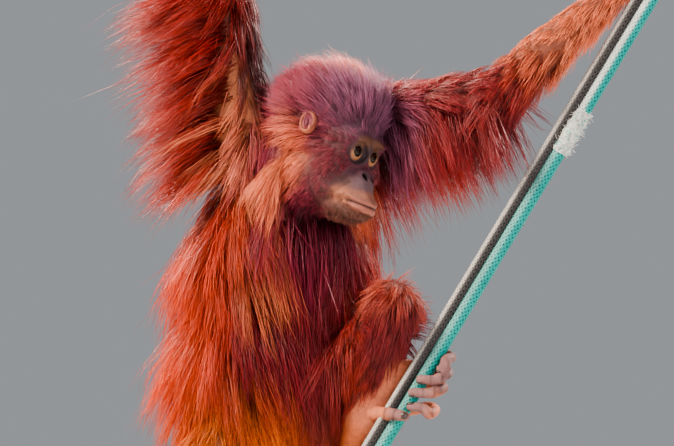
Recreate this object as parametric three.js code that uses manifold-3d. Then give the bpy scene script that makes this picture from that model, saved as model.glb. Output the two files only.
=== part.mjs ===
// A young orangutan that climbs a slanting pair of ropes, as a life-size museum model on a plain stand.
// Millimetres, +Z up, +X to the animal's left, -Y in front of it.
// The origin is the middle of the base's underside.
import * as THREE from "three";
import { mergeVertices } from "three/addons/utils/BufferGeometryUtils.js";
import Module from "manifold-3d";

const wasm = await Module();
wasm.setup();

// Driving sizes
const GAP = 0.3;
const HUMERUS = 212;
const FOREARM = 208;
const FEMUR = 186;
const SHIN = 152;
const FINGER_R = 7.2;
const TOE_R = 7.4;
const EYE_R = 11;
const EYE_SPREAD = 17;
const LID = 1.9;
const TEAL_R = 8.5;
const DARK_R = 6.5;
const BASE_LENGTH = 560;
const BASE_DEPTH = 400;
const BASE_HEIGHT = 20;
const BASE_CORNER = 40;
const BASE_EDGE = 3;
const ROD_R = 8;

const V = (x, y, z) => new THREE.Vector3(x, y, z);
const mixed = (a, b, t) => a.clone().lerp(b, t);
const moved = (from, way, length) => from.clone().addScaledVector(way.clone().normalize(), length);
const DOWN = V(0, 0, -1);

// A small seeded generator, so that every build draws the same coat
let seed = 19;
function random(low, high) {
  seed = (seed * 1664525 + 1013904223) % 4294967296;
  return low + ((high - low) * seed) / 4294967296;
}

// Joints of the skeleton, each one a bone's length from the joint before it
const hip = { right: V(-62, -12, 402), left: V(37, 5, 408) };
const shoulder = { right: V(-75, 0, 748), left: V(77, 20, 760) };
const boneWay = {
  upper_arm: { right: V(-0.107, 0.037, 0.99), left: V(0.79, -0.59, 0.18) },
  forearm: { right: V(0.15, -0.5, 0.85), left: V(0.76, 0.02, 0.65) },
  thigh: { right: V(-0.457, -0.602, -0.656), left: V(0.43, -0.6, 0.7) },
  shin: { right: V(0.11, 0.255, -0.961), left: V(-0.3, 0.24, -0.92) },
};
const bothSides = (make) => ({ right: make("right"), left: make("left") });
const elbow = bothSides((side) => moved(shoulder[side], boneWay.upper_arm[side], HUMERUS));
const wrist = bothSides((side) => moved(elbow[side], boneWay.forearm[side], FOREARM));
const knee = bothSides((side) => moved(hip[side], boneWay.thigh[side], FEMUR));
const ankle = bothSides((side) => moved(knee[side], boneWay.shin[side], SHIN));

// The slanting pair of ropes: along it, across it to the right, and out of its front
const ROPE_PLANE = -110;
const ROPE_FOOT = V(93.5, ROPE_PLANE, 363.6);
const ROPE_LOW = 62;
const ROPE_HIGH = 1058;
const ropeUp = V(0.5161, 0, 0.8565).normalize();
const ropeFront = V(0, -1, 0);
const ropeRight = ropeFront.clone().cross(ropeUp).negate();
const ropeAt = (height) => moved(ROPE_FOOT, ropeUp, (height - ROPE_FOOT.z) / ropeUp.z);
const spanned = (from, ways, shares) =>
  ways.reduce((at, way, n) => at.addScaledVector(way, shares[n]), from.clone());
const beside = (place, ...shares) => spanned(place, [ropeUp, ropeRight, ropeFront], shares);

// The head's own frame, x forward, y to its left and z up, from the middle of the skull
const HEAD_MIDDLE = V(39.3, -49.5, 760);
const headForward = V(0.747, -0.608, -0.269).normalize();
const headLeft = V(0.567, 0.793, -0.217).normalize();
const headUp = headForward.clone().cross(headLeft);
const headFrame = new THREE.Matrix4().makeBasis(headForward, headLeft, headUp).setPosition(HEAD_MIDDLE);
const inHead = (x, y, z) => V(x, y, z).applyMatrix4(headFrame);

// Closed geometry through rings of points. A ring of one point closes an end, and other ends get a flat fan.
function skinOf(rings) {
  const points = [];
  const index = [];
  const starts = rings.map((ring) => points.push(...ring) - ring.length);
  const sides = Math.max(...rings.map((ring) => ring.length));
  const at = (row, side) => starts[row] + (rings[row].length === 1 ? 0 : side % sides);
  for (let row = 0; row + 1 < rings.length; row++)
    for (let side = 0; side < sides; side++) {
      if (rings[row + 1].length > 1) index.push(at(row, side), at(row + 1, side), at(row + 1, side + 1));
      if (rings[row].length > 1) index.push(at(row, side), at(row + 1, side + 1), at(row, side + 1));
    }
  for (const row of [0, rings.length - 1])
    for (let side = 2; side < rings[row].length; side++) {
      const fan = [at(row, 0), at(row, side - 1), at(row, side)];
      index.push(...(row ? fan.reverse() : fan));
    }
  const geometry = new THREE.BufferGeometry().setFromPoints(points);
  geometry.setIndex(index);
  return geometry;
}

// A closed geometry as a solid, turned the right way out
function solidOf(geometry) {
  const bare = geometry.clone();
  bare.deleteAttribute("normal");
  bare.deleteAttribute("uv");
  const merged = mergeVertices(bare, 1e-4);
  const faces = new Uint32Array(merged.index.array);
  const vertProperties = merged.attributes.position.array;
  const build = () => new wasm.Manifold(new wasm.Mesh({ numProp: 3, vertProperties, triVerts: faces }));
  const made = build();
  if (made.volume() > 0) return made;
  for (let i = 0; i < faces.length; i += 3) [faces[i + 1], faces[i + 2]] = [faces[i + 2], faces[i + 1]];
  return build();
}

const joined = (solids) => solids.reduce((all, next) => all.add(next));
const largest = (solid) => solid.decompose().sort((a, b) => b.volume() - a.volume())[0];

// Cuts a solid by the plane through a point, and keeps the side that the normal points to
const kept = (solid, point, normal, gap) => {
  const n = normal.clone().normalize();
  return solid.trimByPlane(n.toArray(), n.dot(point) + gap);
};

// The plane that halves the angle at a joint, as the normal that points to the first bone's side
const halving = (before, joint, after) =>
  before.clone().sub(joint).normalize().sub(after.clone().sub(joint).normalize()).normalize();

// The two half sizes between named stations [t, across, thin], eased from one to the next
function between(stations, t) {
  let i = 0;
  while (i < stations.length - 2 && t > stations[i + 1][0]) i++;
  const [start, end] = [stations[i], stations[i + 1]];
  const share = THREE.MathUtils.smoothstep(t, start[0], end[0]);
  return [1, 2].map((n) => start[n] + (end[n] - start[n]) * share);
}

// A rounded form along a curve, of an oval section that changes between stations
class Form {
  constructor(points, stations, wide, sides, rows) {
    this.curve = points.length > 2 ? new THREE.CatmullRomCurve3(points) : new THREE.LineCurve3(...points);
    Object.assign(this, { stations, wide, sides, rows });
  }
  // The surface at a place along the curve and an angle round it, with its outward normal
  surface(t, angle, grow = 0) {
    const along = this.curve.getTangent(t);
    const across = this.wide.clone().addScaledVector(along, -along.dot(this.wide)).normalize();
    const thin = along.clone().cross(across);
    const [a, b] = between(this.stations, t);
    const [c, s] = [Math.cos(angle), Math.sin(angle)];
    const normal = across.clone().multiplyScalar(c / a).addScaledVector(thin, s / b).normalize();
    const point = this.curve.getPoint(t);
    point.addScaledVector(across, (a + grow) * c).addScaledVector(thin, (b + grow) * s);
    return { point, normal, along };
  }
  solid(grow = 0) {
    const end = (t, way) => {
      const reach = 0.5 * Math.min(...between(this.stations, t)) + grow;
      return [this.curve.getPoint(t).addScaledVector(this.curve.getTangent(t), way * reach)];
    };
    const turn = (2 * Math.PI) / this.sides;
    const point = (row, side) => this.surface(row / this.rows, side * turn, grow).point;
    const ring = (row) => Array.from({ length: this.sides }, (_, side) => point(row, side));
    const rings = Array.from({ length: this.rows + 1 }, (_, row) => ring(row));
    return solidOf(skinOf([end(0, -1), ...rings, end(1, 1)]));
  }
}

// A limb bone's flesh with the root of its coat, and a rounded end past each joint
function limb(from, to, wide, stations, overrun) {
  const way = to.clone().sub(from);
  return new Form([moved(from, way, -overrun[0]), moved(to, way, overrun[1])], stations, wide, 8, 5);
}

// A finger or toe along a curve, with a rounded tip
function digit(points, root, tip, grow) {
  const end = tip * 0.6;
  const stations = [[0, root, root], [0.6, tip + 0.8, tip + 0.6], [0.92, tip, tip], [1, end, end]];
  return new Form(points, stations, V(0.31, 0.2, 0.93), 6, 7).solid(grow);
}

const TIP_GROWTH = 16;
// One flat, tapered lock of the coat. It leaves its root along its lie and bends towards its end's way.
function lock({ root, face, lie, end, length, width, thick }, grow = 0) {
  const rings = [[0, 0.7], [0.36, 1], [0.72, 0.66]].map(([t, share]) => {
    const way = lie.clone().lerp(end, t).normalize();
    const middle = root.clone().addScaledVector(lie, length * (t - (t * t) / 2) - (t ? 0 : 2 * grow));
    middle.addScaledVector(end, (length * t * t) / 2);
    const side = way.clone().cross(face).normalize();
    const out = side.clone().cross(way);
    const half = (width / 2) * share + (1.3 * grow * width) / (thick * share);
    return [[half, -grow], [0, thick * share + 1.5 * grow], [-half, -grow]].map(([aside, high]) =>
      middle.clone().addScaledVector(side, aside).addScaledVector(out, high),
    );
  });
  const tip = spanned(root, [lie, end], [length / 2, length / 2 + grow * TIP_GROWTH]);
  return solidOf(skinOf([...rings, [tip]]));
}

// Where a lock grows and how it hangs, from a place on the skin and shares of out, along and down. Its flat
// side looks out from the skin, or the way that is given.
const FRONT = V(0, -1, 0);
const hung = (place, { lie, end, length, width, face = place.normal, thick = 7, sink = 6 }) => {
  const blend = (shares) => spanned(V(0, 0, 0), [place.normal, place.along, DOWN], shares).normalize();
  return {
    root: moved(place.point, place.normal, -sink),
    face,
    lie: blend(lie),
    end: blend(end),
    length: length * random(0.85, 1.12),
    width: width * random(0.88, 1.15),
    thick,
  };
};

// Rows of locks round a form. Each row is turned by half a step from the one before.
function coatRows(form, rows) {
  const locks = [];
  rows.forEach(({ t, count, from = 0, to = 2 * Math.PI, ...hang }, turned) => {
    for (let n = 0; n < count; n++) {
      const angle = from + ((n + 0.25 + (turned % 2) / 2 + random(-0.12, 0.12)) / count) * (to - from);
      locks.push(hung(form.surface(t + random(-0.01, 0.01), angle), hang));
    }
  });
  return locks;
}

// The head's ellipsoids in its own frame, blended into one surface
const HEAD_FORMS = [
  { at: [-4, 0, 8], half: [72, 60, 62] }, // braincase
  { at: [34, 0, -26], half: [40, 50, 42] }, // face below the brow
  { at: [58, 19, -9], half: [15, 19, 8] }, // brow, left
  { at: [58, -19, -9], half: [15, 19, 8] }, // brow, right
  { at: [60, 0, -28], half: [9, 7, 20] }, // bridge of the nose
  { at: [44, 33, -44], half: [20, 16, 18] }, // cheek, left
  { at: [44, -33, -44], half: [20, 16, 18] }, // cheek, right
  { at: [54, 0, -62], half: [38, 28, 24] }, // muzzle below the nose
  { at: [57, 0, -77], half: [45, 31, 16] }, // muzzle above the mouth
  { at: [56, 0, -95], half: [43, 30, 15] }, // lower jaw
  { at: [18, 30, -70], half: [44, 24, 32] }, // side of the jaw, left
  { at: [18, -30, -70], half: [44, 24, 32] }, // side of the jaw, right
];
const BLEND = 9;
function headDistance(p) {
  let near = Infinity;
  for (const { at, half } of HEAD_FORMS) {
    const d = p.toArray().map((v, i) => v - at[i]);
    const k0 = Math.hypot(...d.map((v, i) => v / half[i]));
    const k1 = Math.hypot(...d.map((v, i) => v / half[i] ** 2));
    const far = (k0 * (k0 - 1)) / Math.max(k1, 1e-6);
    const h = Number.isFinite(near) ? Math.max(BLEND - Math.abs(near - far), 0) / BLEND : 0;
    near = Math.min(near, far) - (h * h * BLEND) / 4;
  }
  return near;
}

// The head's surface along a ray from its inside
const HEAD_INSIDE = V(24, 0, -26);
const HEAD_FAR = 190;
const RAY_STEPS = 60;
function headReach(way) {
  let reach = HEAD_FAR;
  for (let step = 0; step < RAY_STEPS; step++)
    reach -= headDistance(HEAD_INSIDE.clone().addScaledVector(way, reach)) * 0.8;
  return reach;
}

// A ray at an angle from the face's middle, turned round it from straight up towards the animal's left
const FACE_WAY = V(0.82, 0, -0.57).normalize();
const faceUp = V(0.57, 0, 0.82).normalize();
function faceRay(angle, turn) {
  const aside = faceUp.clone().multiplyScalar(Math.cos(turn)).addScaledVector(V(0, 1, 0), Math.sin(turn));
  return FACE_WAY.clone().multiplyScalar(Math.cos(angle)).addScaledVector(aside, Math.sin(angle));
}

// A sphere whose triangles crowd towards the face, pulled onto the blend
const CROWDING = 0.42;
const HEAD_DETAIL = 5;
function headBase(grow) {
  const geometry = new THREE.IcosahedronGeometry(1, HEAD_DETAIL);
  const place = geometry.attributes.position;
  for (let i = 0; i < place.count; i++) {
    const way = V(0, 0, 0).fromBufferAttribute(place, i);
    const angle = way.angleTo(FACE_WAY);
    const turn = Math.atan2(way.y, way.dot(faceUp));
    const ray = faceRay(angle * (1 - CROWDING) + (CROWDING * angle * angle) / Math.PI, turn);
    const point = HEAD_INSIDE.clone().addScaledVector(ray, headReach(ray) + grow);
    place.setXYZ(i, ...point.applyMatrix4(headFrame).toArray());
  }
  return solidOf(geometry);
}

// An ellipsoid in the head's frame
function headBall(at, half, detail, turn = 0) {
  const geometry = new THREE.IcosahedronGeometry(1, detail);
  geometry.scale(...half).rotateX(turn).translate(...at).applyMatrix4(headFrame);
  return solidOf(geometry);
}

// The line where the lips meet, from the right corner round the front to the left one
const MOUTH = [[82, -26.5, -82.5], [94, -20.5, -82.6], [102, -10.5, -83], [104.6, 0, -83.2]];
const MOUTH_MIDDLE = 57;
function alongMouth(rise, out, stations, sides) {
  const half = MOUTH.map(([x, y, z]) => {
    const aside = V(x - MOUTH_MIDDLE, y, 0).normalize();
    return V(x + aside.x * out, y + aside.y * out, z + rise);
  });
  const other = half.slice(0, -1).reverse().map(({ x, y, z }) => V(x, -y, z));
  const line = [...half, ...other].map((p) => p.applyMatrix4(headFrame));
  return new Form(line, stations, headUp, sides, 10).solid();
}

const sideOf = (name) => (name.endsWith("left") ? 1 : -1);
const eyeAt = (side) => [58, side * EYE_SPREAD, -23];
const ball = (r) => [r, r, r];

// The head's flesh with its brow, lids, nose, nostrils and lips
function headSolid(grow) {
  const lip = (rise, high, half) => {
    const [h, w, corner] = [high + grow, half + grow, 1.2 + grow];
    return alongMouth(rise, -3.5, [[0, corner, corner], [0.2, h, w], [0.8, h, w], [1, corner, corner]], 6);
  };
  const noseTip = headBall([77, 0, -45.5], [6.4, 7, 6], 1);
  const raised = [headBase(grow), lip(4.2, 4.4, 5), lip(-4.8, 4.9, 5.6), noseTip];
  const cut = [alongMouth(0, 1.6, [[0, 3, 0.7], [0.5, 3.6, 0.9], [1, 3, 0.7]], 4)];
  for (const side of [-1, 1]) {
    const [x, y, z] = eyeAt(side);
    raised.push(headBall([75.5, side * 7.6, -47.5], [6.4, 5, 4.6], 1));
    raised.push(headBall([x, y, z], ball(EYE_R + LID + grow), 2));
    cut.push(headBall([82.4, side * 6.9, -50.2], [6.6, 2.3, 4.3], 1, side * 0.6));
    cut.push(headBall([x + 10, y, z], [12, 8.2, 6.2], 1, -side * 0.1));
    cut.push(headBall([x, y, z], ball(EYE_R + GAP), 2));
  }
  return grow ? joined(raised) : joined(raised).subtract(joined(cut));
}

const EYE_STEPS = 8;
function eyeSolid(side, grow) {
  const r = EYE_R - GAP + grow;
  const outline = Array.from({ length: EYE_STEPS + 1 }, (_, i) => {
    const angle = (i / EYE_STEPS) * Math.PI;
    return new THREE.Vector2(i % EYE_STEPS ? r * Math.sin(angle) : 0, -r * Math.cos(angle));
  });
  const geometry = new THREE.LatheGeometry(outline, 12);
  return solidOf(geometry.rotateZ(-Math.PI / 2).translate(...eyeAt(side)).applyMatrix4(headFrame));
}

// The ear's cup: a thin leaf with a scooped face, a rolled rim and a notch at its front
const EAR_AT = [12, 59, -11];
function earSolid(side, grow) {
  const [x, y, z] = EAR_AT;
  const leaf = headBall([x, side * y, z], [12 + grow, 9 + grow, 14.5 + grow], 2);
  if (grow) return leaf;
  const scoop = headBall([x + 2, side * (y + 10), z + 1.5], [7.5, 8, 9.5], 1);
  const notch = headBall([x + 9, side * (y + 9), z - 5], [6, 6, 4], 1);
  return leaf.subtract(scoop.add(notch));
}

// The trunk, from the seat to between the shoulders, turned a little towards the animal's left
const trunkLeft = V(0.966, 0.26, 0);
const trunkLine = [
  V(-18, 22, 335), V(-22, 12, 400), V(-24, 2, 480), V(-18, 8, 600), V(-8, 26, 690), V(0, 36, 750),
];
const trunkSize = [
  [0, 36, 32], [0.12, 86, 64], [0.34, 114, 88], [0.62, 110, 78], [0.85, 90, 54], [1, 50, 34],
];
const trunk = new Form(trunkLine, trunkSize, trunkLeft, 14, 8);
const nape = new Form([V(4, 34, 705), V(10, 4, 735), V(26, -34, 752)],
  [[0, 56, 48], [0.5, 56, 50], [1, 50, 46]], V(1, 0, 0), 10, 3);
const throat = new Form([V(6, -36, 622), V(8, -48, 665), V(24, -50, 715)],
  [[0, 32, 26], [0.45, 54, 42], [1, 46, 40]], V(1, 0, 0), 10, 4);

// Each limb's flesh, with half sizes across and along its thin way from joint to joint
const ARM_WIDE = V(0, 1, 0.05);
const THIGH_WIDE = V(0.3, -0.9, 0.1);
const SHIN_WIDE = V(1, 0.1, 0.1);
const limbs = {};
for (const side of ["right", "left"]) {
  limbs["upper_arm_" + side] = limb(shoulder[side], elbow[side], ARM_WIDE,
    [[0, 40, 36], [0.3, 38, 36], [0.7, 34, 33], [0.92, 34, 32], [1, 26, 24]], [10, 12]);
  limbs["forearm_" + side] = limb(elbow[side], wrist[side], ARM_WIDE,
    [[0, 26, 24], [0.1, 33, 32], [0.4, 35, 32], [0.8, 25, 22], [1, 18, 15]], [12, 6]);
  limbs["thigh_" + side] = limb(hip[side], knee[side], THIGH_WIDE,
    [[0, 48, 46], [0.35, 50, 47], [0.75, 41, 39], [0.93, 36, 34], [1, 26, 24]], [8, 14]);
  limbs["shin_" + side] = limb(knee[side], ankle[side], SHIN_WIDE,
    [[0, 24, 22], [0.12, 35, 33], [0.4, 37, 35], [0.75, 29, 27], [1, 21, 19]], [14, 8]);
}

// The left foot: heel low, ball behind the ropes, toes hooked round them to the front
const leftHeel = V(68, -70, 360);
const leftBall = V(134, -84, 452);
const lastKnuckle = V(118, -84, 428);
const footWide = leftBall.clone().sub(leftHeel).cross(V(0.1, 1, 0.1)).normalize();
const leftSole = new Form([leftHeel, V(84, -74, 388), V(110, -80, 420), leftBall],
  [[0, 18, 17], [0.25, 27, 22], [0.6, 27, 18], [0.9, 23, 13], [1, 17, 9]], footWide, 8, 6);
const LEFT_TOES = [
  { height: 461, reach: 44, tip: 20, lift: 9 },
  { height: 448, reach: 45, tip: -5, lift: 3 },
  { height: 432, reach: 42, tip: -9, lift: 1 },
  { height: 414, reach: 38, tip: -3, lift: -8 },
];
const leftBigToe = [V(94, -92, 402), V(110, -112, 403), V(124, -128, 404), V(137, -130, 402)];
function leftFootSolid(grow) {
  const near = TEAL_R + TOE_R + 1;
  const toes = LEFT_TOES.map(({ height, reach, tip, lift }, n) => {
    const middle = ropeAt(height);
    const at = (x, y, z) => V(middle.x + x, ROPE_PLANE + y, height + z);
    const path = [
      mixed(leftBall, lastKnuckle, n / 3), at(6, near + 1, lift + 2), at(reach - 10, near, lift + 4),
      at(reach, 3, lift + 2), at(reach - 8, 1 - near, lift - 2),
      at((reach + tip) / 2, -near, -3), at(tip, -near, -2),
    ];
    return digit(path, TOE_R, TOE_R - 1.4, grow);
  });
  return joined([leftSole.solid(grow), ...toes, digit(leftBigToe, TOE_R + 2, TOE_R - 0.6, grow)]);
}

// A palm or sole that ends in a row of digits round a rope, with one short digit that closes the grip
const SPREAD = 15.2;
const KNUCKLE_SPREAD = 13;
const TURN_STEPS = 5;
function gripSolid({ palm, place, up, right, front, start, sweep, knuckles, reach, thumb }, grow) {
  const digits = [-1.5, -0.5, 0.5, 1.5].map((n) => {
    const middle = place.clone().addScaledVector(up, n * SPREAD);
    const share = Math.abs(n) > 1 ? 0.9 : 1;
    const path = [knuckles.clone().addScaledVector(up, n * KNUCKLE_SPREAD)];
    for (let i = 0; i <= TURN_STEPS; i++) {
      const angle = start + (sweep * share * i) / TURN_STEPS;
      const turned = right.clone().multiplyScalar(Math.cos(angle)).addScaledVector(front, Math.sin(angle));
      path.push(middle.clone().addScaledVector(turned, reach));
    }
    return digit(path, FINGER_R, FINGER_R - 1.3, grow);
  });
  return joined([palm.solid(grow), ...digits, digit(thumb, FINGER_R + 1.5, FINGER_R - 0.8, grow)]);
}
const palmOf = (from, to, way, wide) => {
  const sizes = [[0, 18, 14], [0.35, 27, 15], [0.8, 33, 12], [1, 28, 8]];
  return new Form([moved(from, way, -4), mixed(from, to, 0.52), to], sizes, wide, 8, 5);
};

const PAIR_REACH = 24;
const leftHandAt = ropeAt(994);
const leftKnuckles = beside(leftHandAt, -4, -8, -22);
const rightFootAt = ropeAt(164);
const rightHeel = V(-128, -84, 108);
const rightBall = beside(rightFootAt, 0, -35, -2);
const onSole = (share) => mixed(rightHeel, rightBall, share);
// The upper rope that the right hand hooks over. It runs level, from side to side.
const TOP_ROPE = V(-62, -131, 1210);
const TOP_HALVES = [-118, 112];
const topRopeWay = V(0.995, 0, 0.1).normalize();
const rightKnuckles = V(-62, -106, 1200);
const grips = {
  hand_left: {
    palm: palmOf(wrist.left, leftKnuckles, boneWay.forearm.left, ropeUp),
    place: leftHandAt, up: ropeUp, right: ropeRight, front: ropeFront,
    start: -1.35, sweep: 4, knuckles: leftKnuckles, reach: PAIR_REACH,
    thumb: [
      mixed(wrist.left, leftKnuckles, 0.35), beside(leftHandAt, -44, -30, 2),
      beside(leftHandAt, -38, -22, 19), beside(leftHandAt, -30, -4, 25),
    ],
  },
  hand_right: {
    palm: palmOf(wrist.right, rightKnuckles, boneWay.forearm.right, topRopeWay),
    place: TOP_ROPE, up: topRopeWay, right: V(0, 1, 0), front: V(0, 0, 1),
    start: 0.1, sweep: 4.1, knuckles: rightKnuckles, reach: TEAL_R + FINGER_R + 1,
    thumb: [
      mixed(wrist.right, rightKnuckles, 0.3), V(-36, -112, 1168), V(-30, -126, 1184), V(-34, -134, 1192),
    ],
  },
  foot_right: {
    palm: new Form([rightHeel, onSole(0.36), onSole(0.7), rightBall],
      [[0, 20, 17], [0.25, 26, 20], [0.6, 29, 16], [0.9, 32, 13], [1, 27, 9]], ropeFront, 8, 5),
    place: rightFootAt, up: ropeUp, right: ropeRight, front: ropeFront,
    start: 2.3, sweep: -4.1, knuckles: rightBall, reach: PAIR_REACH,
    thumb: [
      onSole(0.45), beside(ropeAt(120), 0, -30, -22),
      beside(ropeAt(116), 0, -10, -27), beside(ropeAt(114), 0, 8, -24),
    ],
  },
};

// A straight length of rope between two points
const ROPE_SIDES = 14;
function ropeSolid(from, to, radius, grow) {
  const extrudePath = new THREE.LineCurve3(from, to);
  const section = new THREE.Shape().absarc(0, 0, radius + grow, 0, 2 * Math.PI);
  const settings = { extrudePath, steps: 1, curveSegments: ROPE_SIDES / 2 };
  return solidOf(new THREE.ExtrudeGeometry(section, settings));
}
const TEAL_ASIDE = DARK_R + GAP / 2;
const DARK_ASIDE = -TEAL_R - GAP / 2;
const slantRope = (aside, radius, grow) =>
  ropeSolid(...[ROPE_LOW, ROPE_HIGH].map((height) => beside(ropeAt(height), 0, aside, 0)), radius, grow);

// The worn wrap round the teal rope
const TAPE_AT = 751;
const TAPE_HALF = 30;
const TAPE_WALL = 1.6;
const BORE_OVERRUN = 5;
function tapeSolid(grow) {
  const half = TAPE_HALF + grow;
  const stretch = (reach) => [-reach, reach].map((along) => beside(ropeAt(TAPE_AT), along, TEAL_ASIDE, 0));
  const wrap = ropeSolid(...stretch(half), TEAL_R + GAP + TAPE_WALL, grow);
  const bore = ropeSolid(...stretch(half + BORE_OVERRUN), TEAL_R + GAP, -grow);
  return wrap.subtract(bore);
}

// The stand: a flat base, a rod under the seat, and a rod with a socket that holds the ropes' low ends
function baseSolid() {
  const [w, d, r] = [BASE_LENGTH / 2 - BASE_EDGE, BASE_DEPTH / 2 - BASE_EDGE, BASE_CORNER - BASE_EDGE];
  const outline = new THREE.Shape();
  [[1, 1], [-1, 1], [-1, -1], [1, -1]].forEach(([sx, sy], n) =>
    outline.absarc(sx * (w - r), sy * (d - r), r, (n * Math.PI) / 2, ((n + 1) * Math.PI) / 2),
  );
  const depth = BASE_HEIGHT - 2 * BASE_EDGE;
  const bevel = { bevelThickness: BASE_EDGE, bevelSize: BASE_EDGE, bevelSegments: 1 };
  const geometry = new THREE.ExtrudeGeometry(outline, { depth, curveSegments: 3, ...bevel });
  return solidOf(geometry.translate(0, 0, BASE_EDGE));
}
const SOCKET_R = 20;
const SOCKET_LENGTH = 22;
const ROD_INTO = 12;
const socketTop = moved(ropeAt(ROPE_LOW), ropeUp, -GAP);
const socketLow = moved(socketTop, ropeUp, -SOCKET_LENGTH);
function rodSolid({ x, y, z }) {
  const low = BASE_HEIGHT + GAP;
  const geometry = new THREE.CylinderGeometry(ROD_R, ROD_R, z - low, 16);
  return solidOf(geometry.rotateX(Math.PI / 2).translate(x, y, (z + low) / 2));
}

// The flesh of each node, cut at the plane of each joint, and grown where it claims its room
const topRopeEnds = TOP_HALVES.map((along) => moved(TOP_ROPE, topRopeWay, along));
const cores = {
  perch_rope_teal: (grow) => slantRope(TEAL_ASIDE, TEAL_R, grow),
  perch_rope_dark: (grow) => slantRope(DARK_ASIDE, DARK_R, grow),
  perch_rope_top: (grow) => ropeSolid(...topRopeEnds, TEAL_R, grow),
  perch_tape: tapeSolid,
  stand_base: baseSolid,
  stand_socket: (grow) => ropeSolid(socketLow, socketTop, SOCKET_R, grow),
  stand_rod_ropes: () => rodSolid(V(mixed(socketLow, socketTop, 0.4).x, ROPE_PLANE, socketLow.z + ROD_INTO)),
  stand_rod_body: () => rodSolid(V(-18, 24, 350)),
  torso: (grow) => trunk.solid(grow),
  head: headSolid,
  neck: (grow) => nape.solid(grow).add(throat.solid(grow)),
  foot_left: leftFootSolid,
};
for (const [name, grip] of Object.entries(grips)) cores[name] = (grow) => gripSolid(grip, grow);
const cutAt = {};
for (const side of ["right", "left"]) {
  cores["eye_" + side] = (grow) => eyeSolid(sideOf(side), grow);
  cores["ear_" + side] = (grow) => earSolid(sideOf(side), grow);
  const elbowCut = halving(shoulder[side], elbow[side], wrist[side]);
  const kneeCut = halving(hip[side], knee[side], ankle[side]);
  cutAt["upper_arm_" + side] = [elbow[side], elbowCut];
  cutAt["forearm_" + side] = [elbow[side], elbowCut.clone().negate()];
  cutAt["thigh_" + side] = [knee[side], kneeCut];
  cutAt["shin_" + side] = [knee[side], kneeCut.clone().negate()];
}
for (const [name, form] of Object.entries(limbs))
  cores[name] = (grow) => kept(form.solid(grow), ...cutAt[name], GAP / 2 - grow);

// The coat: where its locks grow on each node, and how they lie, bend and hang
// Angles round a form: on the trunk 0 is its left and PI its right, on a raised arm PI / 2 is its outer
// side, and on the level arm PI / 2 is its top.
const { PI } = Math;
const arc = (middle, half) => ({ from: middle - half, to: middle + half });
const ALL_ROUND = {};
// One row of locks: its place, number and arc, the shares of its lie and end, and each lock's size
const row = (t, count, around, lie, end, [length, width], face) =>
  ({ t, count, ...around, lie, end, length, width, face });
const coats = {
  torso: () =>
    coatRows(trunk, [
      row(0.16, 5, ALL_ROUND, [0.5, 0, 1], [0.1, 0, 1], [84, 94]),
      row(0.32, 2, arc(PI, 0.7), [1, 0, 0.7], [0.25, 0, 1], [112, 82], FRONT),
      row(0.34, 5, arc(0, 2), [0.5, 0, 1], [0.08, 0, 1], [104, 84]),
      row(0.46, 3, arc(PI, 0.9), [1, 0, 0.6], [0.3, 0, 1], [120, 80], FRONT),
      row(0.54, 5, arc(0, 2), [0.55, 0, 1], [0.06, 0, 1], [112, 84]),
      row(0.62, 3, arc(PI, 0.9), [1, 0, 0.6], [0.3, 0, 1], [122, 80], FRONT),
      row(0.8, 4, arc(0.5, 1.8), [0.6, 0, 1], [0.06, 0, 1], [112, 80]),
      row(0.78, 2, arc(PI, 0.7), [1, 0, 0.5], [0.4, 0, 1], [122, 76], FRONT),
      row(0.92, 2, arc(PI, 0.7), [1, 0, 0.6], [0.5, 0, 1], [112, 68], FRONT),
    ]),
  neck: () =>
    coatRows(throat, [
      row(0.26, 2, arc(1.5 * PI, 0.8), [0.5, 0, 1], [0, 0, 1], [76, 64]),
      row(0.6, 4, arc(1.5 * PI, 1.5), [0.6, 0, 1], [0, 0, 1], [84, 56]),
    ]),
  upper_arm_right: () => {
    const fan = (t) => row(t, 3, arc(0.45 * PI, 1.1), [1, 0, 0.1], [0.7, 0, 0.7], [122, 75], FRONT);
    const inner = row(0.7, 1, arc(1.5 * PI, 0.4), [0.4, 0, 0.8], [0.1, 0, 1], [62, 42], FRONT);
    return coatRows(limbs.upper_arm_right, [...[0.08, 0.3, 0.52, 0.74, 0.93].map(fan), inner]);
  },
  upper_arm_left: () => {
    const low = arc(1.5 * PI, 1.3);
    const fringe = (t, n) => row(t, 3, low, [0.5, 0.25, 0.8], [0, 0.55, 0.9], [122 - 11 * n, 74], FRONT);
    const top = (t) => row(t, 1, arc(0.5 * PI, 0.8), [0.3, 1, 0], [0.1, 1, 0.2], [56, 62]);
    return coatRows(limbs.upper_arm_left, [...[0.14, 0.36, 0.58, 0.8].map(fringe), ...[0.3, 0.7].map(top)]);
  },
  forearm_right: () => {
    const outer = arc(0.45 * PI, 1.2);
    const fan = (t, n) => row(t, 3, outer, [1, -0.2, 0.2], [0.7, -0.3, 0.8], [92 - 16 * n, 66], FRONT);
    return coatRows(limbs.forearm_right, [0.08, 0.34, 0.6].map(fan));
  },
  forearm_left: () => {
    const [low, lie, end] = [arc(1.5 * PI, 1.2), [0.4, -0.7, 0.4], [0, -0.9, 0.5]];
    const fringe = (t, n) => row(t, 2, low, lie, end, [66 - 10 * n, 58 - 6 * n], FRONT);
    return coatRows(limbs.forearm_left, [0.1, 0.36, 0.62].map(fringe));
  },
};
for (const side of ["right", "left"]) {
  const thighRow = (t) => row(t, 4, ALL_ROUND, [0.5, 0.3, 0.8], [0.05, 0.2, 1], [72, 72]);
  const shinRow = (t) => row(t, 3, ALL_ROUND, [0.45, 0.4, 0.8], [0, 0.4, 1], [58, 60]);
  coats["thigh_" + side] = () => coatRows(limbs["thigh_" + side], [0.34, 0.72].map(thighRow));
  coats["shin_" + side] = () => coatRows(limbs["shin_" + side], [0.16, 0.5].map(shinRow));
}

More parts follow.
